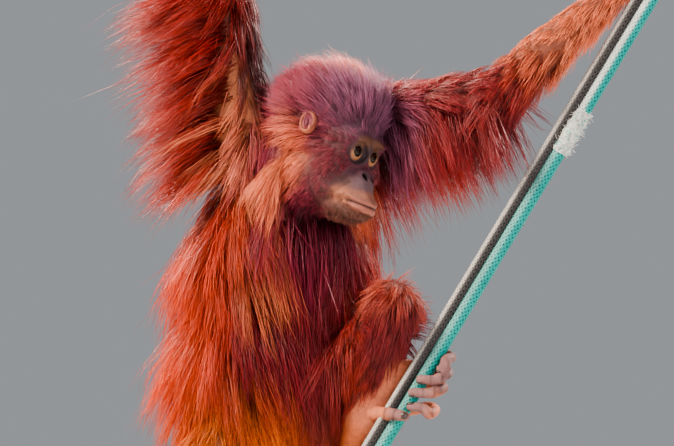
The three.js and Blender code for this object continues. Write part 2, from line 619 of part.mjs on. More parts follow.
// Locks of the head, in rings round the face that start at the hairline
const HEAD_ROWS = [
  { angle: 1.12, count: 10, length: 60, width: 50 },
  { angle: 1.66, count: 9, length: 72, width: 60 },
  { angle: 2.2, count: 6, length: 80, width: 76 },
];
const EAR_CLEAR = 25;
coats.head = () => {
  const locks = [];
  for (const [row, { angle, count, length, width }] of HEAD_ROWS.entries())
    for (let n = 0; n < count; n++) {
      const turn = ((n + (row % 2) / 2) / count) * 2 * Math.PI;
      const [ray, further] = [faceRay(angle, turn), faceRay(angle + 0.2, turn)];
      const point = HEAD_INSIDE.clone().addScaledVector(ray, headReach(ray));
      const next = HEAD_INSIDE.clone().addScaledVector(further, headReach(further));
      const along = next.sub(point).normalize();
      const normal = ray.clone().addScaledVector(along, -ray.dot(along)).normalize();
      const ear = V(EAR_AT[0], Math.sign(point.y) * EAR_AT[1], EAR_AT[2]);
      const place = { point: point.clone().applyMatrix4(headFrame) };
      place.normal = normal.transformDirection(headFrame);
      place.along = along.clone().transformDirection(headFrame);
      const grows = hung(place, { lie: [0.45, 1, 0.1], end: [0.2, 0.7, 0.7], length, width, sink: 5 });
      const middle = point.clone().addScaledVector(along, length / 2);
      const chin = row === 0 && Math.abs(turn - PI) < 0.9;
      if (!chin && Math.min(point.distanceTo(ear), middle.distanceTo(ear)) > EAR_CLEAR) locks.push(grows);
    }
  return locks;
};

// The nodes in the order in which they claim their room: each is cut clear of those before it
const pairs = (...names) => names.flatMap((name) => [name + "_right", name + "_left"]);
const ORDER = [
  "perch_rope_teal", "perch_rope_dark", "perch_rope_top", "perch_tape", "stand_base", "stand_socket",
  ...pairs("eye", "ear"), "head", ...pairs("hand", "foot", "upper_arm", "forearm", "shin", "thigh"),
  "neck", "torso", "stand_rod_ropes", "stand_rod_body",
];

const finishes = {
  coat: { color: 0xa8471f, roughness: 0.8 },
  bare: { color: 0xb98473, roughness: 0.6 },
  eye: { color: 0x2a1610, roughness: 0.1 },
  teal: { color: 0x1f9186, roughness: 0.8 },
  dark: { color: 0x3a3634, roughness: 0.8 },
  tape: { color: 0xcfd0cc, roughness: 0.8 },
  stand: { color: 0x2b2b2d, roughness: 0.5, metalness: 0.6 },
};
const finishOf = (name) => {
  if (name.startsWith("eye_")) return "eye";
  if (/^(hand|foot|ear)_/.test(name)) return "bare";
  if (name.startsWith("stand_")) return "stand";
  if (name === "perch_rope_dark") return "dark";
  if (name === "perch_tape") return "tape";
  return name.startsWith("perch_") ? "teal" : "coat";
};

function meshOf(name, solid) {
  const { vertProperties, triVerts } = solid.getMesh();
  const geometry = new THREE.BufferGeometry();
  geometry.setAttribute("position", new THREE.BufferAttribute(vertProperties, 3));
  geometry.setIndex(new THREE.BufferAttribute(triVerts, 1));
  const mesh = new THREE.Mesh(geometry, new THREE.MeshStandardMaterial(finishes[finishOf(name)]));
  mesh.name = name;
  return mesh;
}

// Every node's flesh takes its room first, and then the locks, node by node, what is left between them
const flesh = {};
const room = {};
const roomOf = (solid) => ({ solid, box: solid.boundingBox() });
const meets = (a, b) => [0, 1, 2].every((i) => a.min[i] <= b.max[i] && a.max[i] >= b.min[i]);
function cleared(solid, others) {
  const box = solid.boundingBox();
  const close = others.filter((other) => meets(box, other.box));
  return close.reduce((rest, other) => rest.subtract(other.solid), solid);
}
for (const name of ORDER) {
  flesh[name] = largest(cleared(cores[name](0), Object.values(room)));
  room[name] = roomOf(cores[name](GAP));
}
const group = new THREE.Group();
const coatRoom = [];
for (const name of ORDER) {
  let solid = flesh[name];
  if (coats[name]) {
    const locks = coats[name]();
    const others = ORDER.filter((other) => other !== name).map((other) => room[other]);
    const grown = [];
    for (const item of locks) {
      const cut = cleared(lock(item), [...others, ...coatRoom]);
      if (cut.volume() <= 0) continue;
      solid = solid.add(cut);
      grown.push(roomOf(lock(item, GAP)));
    }
    solid = largest(solid);
    coatRoom.push(...grown);
  }
  group.add(meshOf(name, solid));
}

export default group;
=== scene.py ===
# %% [markdown]
# A young orangutan that climbs a slanting pair of ropes, dressed around its CAD solids.
# The solids give the place of everything: bones, head, hands, ropes and stand. This script repeats their
# named sizes, and builds on them what the solids only block out: one skin, the sculpted face, the eyes and
# nails, the long coat hair by hair, the braid of the ropes and the finish of the stand.
# Shape work is in millimetres, in the frame of the solids, and becomes metres when a mesh is made.

# %% Load the frame
import math

import bpy
import numpy as np
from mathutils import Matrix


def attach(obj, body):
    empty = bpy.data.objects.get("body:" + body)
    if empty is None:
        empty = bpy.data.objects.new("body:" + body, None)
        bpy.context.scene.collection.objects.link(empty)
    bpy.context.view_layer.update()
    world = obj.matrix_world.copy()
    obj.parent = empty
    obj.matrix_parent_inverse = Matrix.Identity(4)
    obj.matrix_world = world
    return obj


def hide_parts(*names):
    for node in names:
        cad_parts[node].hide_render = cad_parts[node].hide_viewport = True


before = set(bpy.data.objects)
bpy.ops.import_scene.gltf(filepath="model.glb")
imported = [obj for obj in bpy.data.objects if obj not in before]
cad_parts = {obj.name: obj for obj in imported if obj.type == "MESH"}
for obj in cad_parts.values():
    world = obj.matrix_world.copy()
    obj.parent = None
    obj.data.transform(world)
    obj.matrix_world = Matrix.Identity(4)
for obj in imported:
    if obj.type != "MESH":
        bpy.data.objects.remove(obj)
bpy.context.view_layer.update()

import openvdb
from mathutils import Vector

MM = 0.001
rng = np.random.default_rng(11)


def vec(*values):
    return np.array(values, float)


def unit(v):
    v = np.asarray(v, float)
    return v / np.maximum(np.linalg.norm(v, axis=-1, keepdims=True), 1e-9)


def mixed(a, b, t):
    return a + (b - a) * t


def ramp(low, high, x):
    """A smooth step from 0 at low to 1 at high."""
    t = np.clip((x - low) / (high - low), 0, 1)
    return t * t * (3 - 2 * t)


def colour(red, green, blue):
    """Linear colour from the 0-255 numbers of a colour picker."""
    share = vec(red, green, blue) / 255
    return np.where(share < 0.04045, share / 12.92, ((share + 0.055) / 1.055) ** 2.4)


def placed(name, data):
    """An object for a mesh, a light or a camera, put into the scene."""
    made = bpy.data.objects.new(name, data)
    bpy.context.scene.collection.objects.link(made)
    return made


# %% [markdown]
# Bones first. A real museum figure starts from an armature, and so does this one: each joint is one
# bone's length from the joint before it, on the same ways as the solids, so skin and coat fall in place.

# %% The skeleton, the ropes and the head's frame
HUMERUS, FOREARM, FEMUR, SHIN = 212, 208, 186, 152
DOWN = vec(0, 0, -1)
SIDES = ("right", "left")
hip = {"right": vec(-62, -12, 402), "left": vec(37, 5, 408)}
shoulder = {"right": vec(-75, 0, 748), "left": vec(77, 20, 760)}
bone_way = {
    "upper_arm": {"right": vec(-0.107, 0.037, 0.99), "left": vec(0.79, -0.59, 0.18)},
    "forearm": {"right": vec(0.15, -0.5, 0.85), "left": vec(0.76, 0.02, 0.65)},
    "thigh": {"right": vec(-0.457, -0.602, -0.656), "left": vec(0.43, -0.6, 0.7)},
    "shin": {"right": vec(0.11, 0.255, -0.961), "left": vec(-0.3, 0.24, -0.92)},
}
elbow = {s: shoulder[s] + HUMERUS * unit(bone_way["upper_arm"][s]) for s in SIDES}
wrist = {s: elbow[s] + FOREARM * unit(bone_way["forearm"][s]) for s in SIDES}
knee = {s: hip[s] + FEMUR * unit(bone_way["thigh"][s]) for s in SIDES}
ankle = {s: knee[s] + SHIN * unit(bone_way["shin"][s]) for s in SIDES}

TEAL_R, DARK_R, GAP = 8.5, 6.5, 0.3
ROPE_LOW, ROPE_HIGH = 62, 1058
ROPE_FOOT = vec(93.5, -110, 363.6)
rope_up = unit(vec(0.5161, 0, 0.8565))
rope_front = vec(0, -1, 0)
rope_right = -np.cross(rope_front, rope_up)


def rope_at(height):
    return ROPE_FOOT + rope_up * (height - ROPE_FOOT[2]) / rope_up[2]


def beside(place, up, right, front):
    return place + up * rope_up + right * rope_right + front * rope_front


HEAD_MIDDLE = vec(39.3, -49.5, 760)
head_forward = unit(vec(0.747, -0.608, -0.269))
head_left = unit(vec(0.567, 0.793, -0.217))
head_up = np.cross(head_forward, head_left)
head_left = np.cross(head_up, head_forward)
HEAD = np.array([head_forward, head_left, head_up])


def in_head(points):
    """Places in the head's own frame, x forward, y to its left, z up, as places in the scene."""
    return HEAD_MIDDLE + np.asarray(points, float) @ HEAD


def to_head(points):
    return (points - HEAD_MIDDLE) @ HEAD.T


print("elbows", elbow, "wrists", wrist)
print("knees", knee, "ankles", ankle)


# %% [markdown]
# The camera stands level in front of the chest, far off, with a long lens, as in the photograph.

# %% Camera
CAMERA_AT = vec(46.25, -5000, 636.25)
WIDTH_AT_CHEST = 842.5
camera_data = bpy.data.cameras.new("camera")
camera_data.sensor_width = 36
camera_data.lens = 36 * -CAMERA_AT[1] / WIDTH_AT_CHEST
camera_data.clip_end = 40
camera = placed("camera", camera_data)
camera.location = CAMERA_AT * MM
camera.rotation_euler = (math.pi / 2, 0, 0)
bpy.context.scene.camera = camera
print("lens", round(camera_data.lens, 1), "mm")


# %% [markdown]
# Skin is one surface stretched over muscle and bone, with no edge where an arm meets a shoulder.
# Loose meshes that cross would show such edges, so the skin is the zero surface of a distance:
# rounded forms, each with a named size, are blended one into the next, and the surface is read off them.

# %% A blend of rounded forms
class Skin:
    """Rounded forms blended into one surface. Each is only read near its own box."""

    NEAR = 24
    STEP = 0.3
    LONGEST_PUSH = 3.0

    def __init__(self):
        self.forms = []

    def add(self, low, high, far, blend, cut):
        self.forms.append((low - self.NEAR, high + self.NEAR, far, blend, cut))

    def ball(self, at, half, blend=6.0, axes=np.eye(3), cut=False):
        half = vec(*half)

        def far(p):
            q = (p - at) @ axes.T
            near = np.linalg.norm(q / half, axis=1)
            return near * (near - 1) / np.maximum(np.linalg.norm(q / half**2, axis=1), 1e-6)

        reach = np.sqrt(((axes * half[:, None]) ** 2).sum(0))
        self.add(at - reach, at + reach, far, blend, cut)

    def bone(self, points, radii, blend=6.0, cut=False):
        points, radii = np.asarray(points), np.asarray(radii, float)

        def far(p):
            best = np.full(len(p), np.inf)
            for a, b, r, s in zip(points, points[1:], radii, radii[1:]):
                along = b - a
                t = np.clip((p - a) @ along / (along @ along), 0, 1)
                best = np.minimum(best, np.linalg.norm(p - a - t[:, None] * along, axis=1) - r - (s - r) * t)
            return best

        self.add(points.min(0) - radii.max(), points.max(0) + radii.max(), far, blend, cut)

    def ring(self, at, axis, radius, tube, blend=2.0):
        axis = unit(axis)

        def far(p):
            q = p - at
            high = q @ axis
            aside = np.linalg.norm(q - high[:, None] * axis, axis=1)
            return np.hypot(aside - radius, high) - tube

        self.add(at - radius - tube, at + radius + tube, far, blend, False)

    def distance(self, p):
        d = np.full(len(p), 60.0)
        lows, highs = (np.array([form[i] for form in self.forms]) for i in (0, 1))
        meets = np.all((lows < p.max(0)) & (highs > p.min(0)), axis=1)
        for n in np.flatnonzero(meets):
            low, high, far, blend, cut = self.forms[n]
            near = np.all((p > low) & (p < high), axis=1)
            if not near.any():
                continue
            a, b = d[near], far(p[near])
            if cut:
                h = np.maximum(blend - np.abs(a + b), 0) / blend
                d[near] = np.maximum(a, -b) + h * h * blend / 4
            else:
                h = np.maximum(blend - np.abs(a - b), 0) / blend
                d[near] = np.minimum(a, b) - h * h * blend / 4
        return d

    def slope(self, p):
        """Distance and its slope, from four nearby readings."""
        ways = np.array([[1, -1, -1], [-1, -1, 1], [-1, 1, -1], [1, 1, 1]], float)
        reads = [self.distance(p + way * self.STEP) for way in ways]
        return sum(reads) / 4, sum(r[:, None] * w for r, w in zip(reads, ways)) / (4 * self.STEP)

    def settle(self, p, rounds=2):
        """Points moved onto the surface, and the surface's normals there."""
        for _ in range(rounds):
            d, way = self.slope(p)
            push = d / np.maximum((way**2).sum(1), 0.2)
            p = p - np.clip(push, -self.LONGEST_PUSH, self.LONGEST_PUSH)[:, None] * way
        return p, unit(self.slope(p)[1])


def curve(points, steps=4):
    """Points along a smooth curve through the given ones."""
    q = np.array([2 * points[0] - points[1], *points, 2 * points[-1] - points[-2]])
    found = []
    for i in range(1, len(q) - 2):
        four = q[i - 1 : i + 3]
        gaps = np.maximum(np.linalg.norm(np.diff(four, axis=0), axis=1), 1e-3) ** 0.5
        k = np.concatenate([[0], np.cumsum(gaps)])
        for t in mixed(k[1], k[2], np.arange(steps) / steps):
            a = [((k[j + 1] - t) * four[j] + (t - k[j]) * four[j + 1]) / (k[j + 1] - k[j]) for j in range(3)]
            b = [((k[j + 2] - t) * a[j] + (t - k[j]) * a[j + 1]) / (k[j + 2] - k[j]) for j in range(2)]
            found.append(((k[2] - t) * b[0] + (t - k[1]) * b[1]) / (k[2] - k[1]))
    return np.array([*found, points[-1]])


skin = Skin()

# %% [markdown]
# Trunk and limbs. Under the hair a young orangutan is lean: a barrel of ribs over a round belly, thin
# upper arms, a full forearm and a short thigh. The coat's depth lies between these and the solids.

# %% Trunk, neck and limbs
TRUNK_TURN = np.array([unit(vec(0.966, 0.26, 0)), unit(vec(-0.26, 0.966, 0)), vec(0, 0, 1)])
trunk_balls = {
    "pelvis": ((-22, 14, 398), (76, 58, 62)),
    "belly": ((-25, -4, 478), (97, 80, 88)),
    "ribs": ((-18, 6, 596), (95, 70, 104)),
    "shoulders": ((-4, 26, 694), (88, 46, 58)),
}
for at, half in trunk_balls.values():
    skin.ball(vec(*at), half, 30, TRUNK_TURN)
skin.bone([vec(4, 34, 705), vec(10, 4, 735), vec(26, -34, 752)], [46, 44, 40], 24)
skin.bone([vec(6, -30, 640), vec(10, -40, 672), vec(24, -46, 715)], [28, 38, 36], 20)
for s in SIDES:
    way = unit(bone_way["upper_arm"][s])
    skin.ball(shoulder[s] + 8 * way, (37, 37, 37), 26)
    at = [mixed(shoulder[s], elbow[s], t) for t in (0, 0.35, 0.75, 1)]
    skin.bone(at, [32, 29, 25, 23], 16)
    at = [mixed(elbow[s], wrist[s], t) for t in (0, 0.16, 0.42, 0.8, 1)]
    skin.bone(at, [22, 25, 25, 17, 14.5], 12)
    at = [mixed(hip[s], knee[s], t) for t in (0, 0.35, 0.8, 1)]
    skin.bone(at, [42, 41, 32, 26], 20)
    at = [mixed(knee[s], ankle[s], t) for t in (0, 0.14, 0.42, 0.8, 1)]
    skin.bone(at, [25, 27, 28, 20, 17], 12)
print(len(skin.forms), "forms in the body")

# %% [markdown]
# Hands and feet. The fingers are long hooks that close round a branch, or here a rope, and the thumb and
# big toe close the grip from the other side. Each digit swells at its joints, as bare fingers do.

# %% Hands and feet
FINGER_R, TOE_R = 7.2, 7.4
THUMB_R = (FINGER_R + 1.5, FINGER_R - 0.8)
SPREAD, KNUCKLE_SPREAD, PAIR_REACH = 15.2, 13, 24
PALM_BLEND = 9.0
digit_ends = []
digit_outs = []
digit_lines = []


def digit(points, root, tip, joints=(0.36, 0.68)):
    """One finger or toe along a curve, a little thicker at its joints, with a rounded tip."""
    line = curve(points)
    gone = np.concatenate([[0], np.cumsum(np.linalg.norm(np.diff(line, axis=0), axis=1))])
    share = gone / gone[-1]
    radii = np.interp(share, [0, 0.6, 0.9, 1], [root, tip + 0.6, tip, tip * 0.86])
    radii += sum(0.7 * np.exp(-(((share - j) / 0.05) ** 2)) for j in joints)
    skin.bone(line, radii, 2.2)
    digit_ends.append((line[-1], unit(line[-1] - line[-3]), tip))
    digit_outs.append(unit(2 * line[-4] - line[-1] - line[-7]))
    digit_lines.append(line)


def slab(points, sizes, wide):
    """A palm or sole: overlapping balls along a curve, of a changing width and thickness."""
    line = curve([vec(*p) for p in points], 3)
    share = np.linspace(0, 1, len(line))
    stations = np.array(sizes, float)
    length = np.linalg.norm(line[-1] - line[0]) / len(line)
    for n, at in enumerate(line):
        along = unit(line[min(n + 1, len(line) - 1)] - line[max(n - 1, 0)])
        across = unit(wide - along * (along @ wide))
        axes = np.array([along, across, np.cross(along, across)])
        half = [np.interp(share[n], stations[:, 0], stations[:, i]) for i in (1, 2)]
        skin.ball(at, (max(length * 1.5, half[1]), half[0], half[1]), PALM_BLEND, axes)


def grip(place, up, right, front, start, sweep, knuckles, reach):
    """Four digits side by side that turn round a rope from the knuckles."""
    for n in (-1.5, -0.5, 0.5, 1.5):
        turns = start + sweep * (0.9 if abs(n) > 1 else 1) * np.arange(6) / 5
        round_rope = np.cos(turns)[:, None] * right + np.sin(turns)[:, None] * front
        digit([knuckles + n * KNUCKLE_SPREAD * up, *(place + n * SPREAD * up + reach * round_rope)],
              FINGER_R, FINGER_R - 1.3)


left_hand_at = rope_at(994)
left_knuckles = beside(left_hand_at, -4, -8, -22)
right_foot_at = rope_at(164)
right_heel = vec(-128, -84, 108)
right_ball = beside(right_foot_at, 0, -35, -2)
TOP_ROPE = vec(-62, -131, 1210)
top_rope_way = unit(vec(0.995, 0, 0.1))
right_knuckles = vec(-62, -106, 1200)
PALM = [(0, 17, 13.5), (0.35, 25, 14), (0.8, 31, 11.5), (1, 27, 8)]

slab([wrist["left"], mixed(wrist["left"], left_knuckles, 0.52), left_knuckles], PALM, rope_up)
grip(left_hand_at, rope_up, rope_right, rope_front, -1.35, 4, left_knuckles, PAIR_REACH)
digit([mixed(wrist["left"], left_knuckles, 0.35), beside(left_hand_at, -44, -30, 2),
       beside(left_hand_at, -38, -22, 19), beside(left_hand_at, -30, -4, 25)], *THUMB_R)

slab([wrist["right"], mixed(wrist["right"], right_knuckles, 0.52), right_knuckles], PALM, top_rope_way)
grip(TOP_ROPE, top_rope_way, vec(0, 1, 0), vec(0, 0, 1), 0.1, 4.1, right_knuckles, TEAL_R + FINGER_R + 1)
digit([mixed(wrist["right"], right_knuckles, 0.3), vec(-36, -112, 1168), vec(-30, -126, 1184),
       vec(-34, -134, 1192)], *THUMB_R)

slab([right_heel, mixed(right_heel, right_ball, 0.36), mixed(right_heel, right_ball, 0.7), right_ball],
     [(0, 19, 16), (0.25, 25, 19), (0.6, 28, 15), (0.9, 31, 12.5), (1, 26, 9)], rope_front)
grip(right_foot_at, rope_up, rope_right, rope_front, 2.3, -4.1, right_ball, PAIR_REACH)
digit([mixed(right_heel, right_ball, 0.45), beside(rope_at(120), 0, -30, -22),
       beside(rope_at(116), 0, -10, -27), beside(rope_at(114), 0, 8, -24)], *THUMB_R)

# %% [markdown]
# The left foot is the one in the picture: its heel is low, its ball lies behind the ropes, and its toes
# hook round to the front, where each one lies at its own height and reaches its own way.

# %% The left foot, and how hands and feet join their limbs
left_heel = vec(68, -70, 360)
left_ball = vec(134, -84, 452)
last_knuckle = vec(118, -84, 428)
foot_wide = unit(np.cross(left_ball - left_heel, vec(0.1, 1, 0.1)))
slab([left_heel, vec(84, -74, 388), vec(110, -80, 420), left_ball],
     [(0, 17.5, 16.5), (0.25, 26, 21), (0.6, 26, 17), (0.9, 22, 12.5), (1, 16.5, 9)], foot_wide)
TOES = [(461, 34, 20, 9), (448, 38, 3, 3), (432, 41, 3, 1), (414, 42, 12, -8)]
near = TEAL_R + TOE_R + 1
for n, (height, reach, tip, lift) in enumerate(TOES):
    middle = rope_at(height)
    toe_path = [
        mixed(left_ball, last_knuckle, n / 3), middle + vec(6, near + 1, lift + 2),
        middle + vec(reach - 10, near, lift + 4), middle + vec(reach, 3, lift + 2),
        middle + vec(reach - 8, 1 - near, lift - 2), middle + vec((reach + tip) / 2, -near, -3),
        middle + vec(tip, -near, -2),
    ]
    digit(toe_path, TOE_R, TOE_R - 1.4, (0.5, 0.78))
digit([vec(92, -92, 402), vec(106, -112, 403), vec(118, -128, 403), vec(129, -132, 401)],
      TOE_R + 2, TOE_R - 0.6, (0.55,))
skin.bone([ankle["left"], vec(76, -72, 376), left_heel], [17, 17, 16.5], 9)
skin.bone([ankle["right"], mixed(ankle["right"], right_heel, 0.6), right_heel], [17, 17, 16], 9)
for s, knuckles in (("left", left_knuckles), ("right", right_knuckles)):
    skin.bone([mixed(elbow[s], wrist[s], 0.9), mixed(wrist[s], knuckles, 0.3)], [15.5, 14.5], 9)
print(len(digit_ends), "digits")

# %% [markdown]
# The head gets the most care. Under the short hair the skull is a ball with a high forehead. The face is
# bare: a low brow ridge, eyes close together in pale lids, a flat nose with slanting nostrils, and a
# muzzle that swells out to long, thin lips. Each is a form in the head's own frame.

# %% Skull, muzzle and jaw
def head_ball(at, half, blend=9.0, turn=np.eye(3), cut=False):
    skin.ball(in_head(at), half, blend, turn @ HEAD, cut)


def turned(about, angle):
    """A turn about one of the head's axes, 0 forward, 1 left, 2 up."""
    c, s = math.cos(angle), math.sin(angle)
    i, j = [n for n in range(3) if n != about]
    turn = np.eye(3)
    turn[i, i] = turn[j, j] = c
    turn[i, j], turn[j, i] = s, -s
    return turn


head_ball((-4, 0, 8), (70, 58, 60), 9)
head_ball((34, 0, -26), (40, 49, 42), 12)
for side in (-1, 1):
    head_ball((44, side * 33, -44), (20, 16, 18), 10)
    head_ball((18, side * 30, -70), (43, 23, 31), 12)
head_ball((54, 0, -62), (37.5, 27.5, 24), 10)
head_ball((57, 0, -77), (45, 31, 16), 9)
head_ball((56, 0, -95), (43, 29.5, 15), 8)

# %% [markdown]
# An ape's eye lies deep under a low ridge. Each is made in the order that a sculptor would take: press the
# socket in, lay the bag and the ball of the lids into it, cut the opening, and set the eyeball behind it.

# %% Brow, nose, eye sockets and lids
EYE_R, EYE_SPREAD, EYE_X, EYE_Z = 10.7, 17, 58, -23
EYE_WIDE, EYE_HIGH = 7.5, 6.5
LID_R = 12.2
eye_way = {s: unit(vec(1, y * 0.10, -0.06)) for s, y in zip(SIDES, (-1, 1))}
for side in (-1, 1):
    head_ball((59, side * 18, -7.5), (13.6, 17, 6.4), 8)
    head_ball((64, side * 9, -8), (7, 9, 5), 5)
    head_ball((66.5, side * 13, -6.0), (4.6, 10, 3.4), 4.0, turned(0, -side * 0.16))
    head_ball((63.5, side * 13, 1.4), (4.2, 11, 1.8), 3.4, turned(0, -side * 0.12))
head_ball((60, 0, -28), (10, 6, 20), 6)
head_ball((77, 0, -45.5), (5.6, 5.6, 5.4), 4)
for side, s in zip((-1, 1), SIDES):
    at = vec(EYE_X, side * EYE_SPREAD, EYE_Z)
    way = eye_way[s] @ HEAD
    head_ball(at + vec(11, 0, -1), (10, 15.5, 13.5), 4, cut=True)
    head_ball(at + vec(-2.5, 0, -1.5), (14.2, 15.5, 15), 2.5)
    skin.ring(in_head(at + vec(0, 0, -1.6)) + 5.2 * way, way, 11.2, 1.5, 2.2)
    head_ball(at, (LID_R, LID_R, LID_R), 1.4)
    skin.ring(in_head(at + vec(-0.4, 0, 3.4)) + 7.4 * way, way, 9.2, 1.3, 1.6)
    opening = turned(2, -side * 0.05) @ turned(0, side * 0.14) @ HEAD
    skin.ball(in_head(at + vec(9.5, side * 0.4, 0)), (9.5, EYE_WIDE, EYE_HIGH), 1.0, opening, True)
    skin.ball(in_head(at), (EYE_R - 0.9,) * 3, 0.4)
    head_ball((75.5, side * 7.6, -47.5), (6.4, 4.6, 4.6), 3.4, turned(0, side * 0.55))
    head_ball((80.0, side * 2.4, -52.0), (3.2, 2.0, 4.4), 2.4)
    nostril = turned(0, -side * 0.7) @ HEAD
    skin.ball(in_head((82.6, side * 6.8, -50.4)), (7.4, 2.7, 5.0), 1.2, nostril, True)

# %% [markdown]
# The lips are two soft rolls on one curved line, with the mouth as a fine groove between them. A fold runs
# down from the wing of the nose to behind the corner of the mouth. The ears are small cups with a rim.

# %% Lips, mouth line and ears
MOUTH = [vec(82, -26.5, -82.5), vec(94, -20.5, -82.6), vec(102, -10.5, -83), vec(104.6, 0, -83.2)]
MOUTH_MIDDLE = 57


def along_mouth(rise, out):
    """The line where the lips meet, moved up and out, from the right corner round to the left."""
    half = []
    for x, y, z in MOUTH:
        aside = unit(vec(x - MOUTH_MIDDLE, y, 0))
        half.append(vec(x + aside[0] * out, y + aside[1] * out, z + rise))
    other = [p * vec(1, -1, 1) for p in half[-2::-1]]
    return curve([in_head(p) for p in half + other], 5)


mouth_share = np.linspace(-1, 1, 31)
swell = 1 - np.abs(mouth_share) ** 2.6
skin.bone(along_mouth(4.0, -3.6), 1.2 + 3.4 * swell, 3.0)
skin.bone(along_mouth(-4.8, -3.6), 1.2 + 4.3 * swell, 3.0)
skin.bone(along_mouth(0, 1.9), 0.5 + 0.7 * swell, 1.0, cut=True)
for side in (-1, 1):
    corner = [(85, side * 24.5, -81.5), (81, side * 28, -83.5), (76, side * 30, -88)]
    skin.bone([in_head(vec(*p)) for p in corner], [1.2, 1.5, 0.8], 3, cut=True)
    fold = [(75, side * 22, -62), (72, side * 28, -71), (68, side * 31, -78), (63, side * 33, -86)]
    skin.bone(curve([in_head(vec(*p)) for p in fold], 4), np.linspace(0.2, 1.3, 13), 5, cut=True)
skin.bone([in_head(vec(95, 0, -61)), in_head(vec(102, 0, -74))], [0.6, 1.4], 5, cut=True)

EAR_AT = vec(12, 59, -11)
for side in (-1, 1):
    flip = vec(1, side, 1)
    tilt = turned(1, 0.12)
    skin.ball(in_head(EAR_AT * flip), (11.6, 8.4, 14.2), 2.2, tilt @ HEAD)
    skin.ball(in_head((EAR_AT + vec(1.2, 7.8, 1.2)) * flip), (9.2, 7.2, 11.6), 1.2, tilt @ HEAD, True)
    skin.bone([in_head((EAR_AT + vec(*p)) * flip) for p in
               ((-3.5, 5.6, 6), (-2.2, 6.2, 1), (-1.5, 6, -4), (1.5, 5.6, -7))], [1.0, 1.4, 1.5, 1.3], 1.6)
    skin.bone([in_head((EAR_AT + vec(*p)) * flip) for p in ((8.2, 5.2, -3.4), (9, 5.4, -7))], [1.8, 2.2], 2)
print(len(skin.forms), "forms in the whole skin")


# %% [markdown]
# The skin is read off on a lattice of small cubes, fine where it is bare and coarse under the coat. Each
# fine part is a ball round the face, an ear, a hand or a foot. Where two parts meet, both dive under one
# another, inside the flesh, so that they cross on one line of the same surface and no edge shows.

# %% Parts of the skin and their fineness
FINE = {
    "face": (in_head(vec(66, 0, -50)), 58, 1.08),
    "right_ear": (in_head(vec(12, -62, -11)), 21, 1.15),
    "left_ear": (in_head(vec(12, 62, -11)), 21, 1.15),
    "left_foot": (vec(118, -96, 414), 76, 2.3),
    "right_foot": (right_foot_at + vec(-45, 18, -20), 96, 2.9),
    "left_hand": (mixed(wrist["left"], left_hand_at, 0.75) + vec(0, 4, 6), 84, 2.7),
    "right_hand": (mixed(wrist["right"], right_knuckles, 0.62) + vec(0, -8, 4), 78, 2.7),
}
BODY_VOXEL = 5.0
DIVE, OVERLAP = 2.4, 8


def past_edge(name, p):
    """How far a point lies past the edge of a part."""
    into = [reach - np.linalg.norm(p - at, axis=1) for at, reach, _ in FINE.values()]
    if name == "body":
        return np.max(into, axis=0)
    mine = list(FINE).index(name)
    return np.max([-into[mine], *into[:mine]], axis=0)


BLOCK = 8


def surface(name, low, high, voxel):
    """One part's surface in a box, as points and four-sided faces."""
    def read(p):
        return skin.distance(p) + DIVE * ramp(0, OVERLAP, past_edge(name, p))

    count = np.ceil((high - low) / voxel / BLOCK).astype(int)
    field = np.empty((count[0], BLOCK, count[1], BLOCK, count[2], BLOCK), np.float32)
    corner = np.stack(np.meshgrid(*[np.arange(n) for n in count], indexing="ij"), -1).reshape(-1, 3)
    middle = low + (corner * BLOCK + BLOCK / 2 - 0.5) * voxel
    d = read(middle)
    field[:] = d.reshape(count[0], 1, count[1], 1, count[2], 1)
    inner = np.stack(np.meshgrid(*[np.arange(BLOCK)] * 3, indexing="ij"), -1).reshape(-1, 3)
    reach = BLOCK * voxel * 0.87
    for i in np.flatnonzero((np.abs(d) < reach + 5) & (past_edge(name, middle) < OVERLAP + reach)):
        a, b, c = corner[i]
        points = low + (corner[i] * BLOCK + inner) * voxel
        field[a, :, b, :, c, :] = read(points).reshape(BLOCK, BLOCK, BLOCK)
    grid = openvdb.FloatGrid(float(voxel * 3))
    grid.copyFromArray(field.reshape(count * BLOCK))
    points, quads = grid.convertToQuads(0.0)
    points = low + points.astype(float) * voxel
    quads = quads[(past_edge(name, points)[quads] < OVERLAP).all(1)].astype(np.int64)
    used, quads = np.unique(quads, return_inverse=True)
    return points[used], quads.reshape(-1, 4)


def body_box():
    lows = np.array([form[0] for form in skin.forms]) + Skin.NEAR
    highs = np.array([form[1] for form in skin.forms]) - Skin.NEAR
    return lows.min(0) - 12, highs.max(0) + 12


skin_points, skin_quads, skin_part = [], [], []
started = 0
for name in ("body", *FINE):
    if name == "body":
        low, high = body_box()
        voxel = BODY_VOXEL
    else:
        at, reach, voxel = FINE[name]
        low, high = at - reach - OVERLAP - 6, at + reach + OVERLAP + 6
    points, quads = surface(name, low, high, voxel)
    skin_points.append(points)
    skin_quads.append(quads + started)
    skin_part += [name] * len(points)
    started += len(points)
    print(name, len(points), "points", len(quads), "faces")
skin_points = np.concatenate(skin_points)
skin_quads = np.concatenate(skin_quads)
skin_part = np.array(skin_part)


# %% [markdown]
# Every point now slides onto the exact surface, which sharpens lids and lips that the cubes rounded off.
# A point near the end of a part keeps its dive.

# %% Settle the points and make one mesh
on_skin = np.zeros(len(skin_points), bool)
skin_normals = np.zeros_like(skin_points)
for name in ("body", *FINE):
    mine = np.flatnonzero(skin_part == name)
    p = skin_points[mine]
    free = past_edge(name, p) < 0
    skin_points[mine[free]], skin_normals[mine[free]] = skin.settle(p[free])
    on_skin[mine[free]] = True


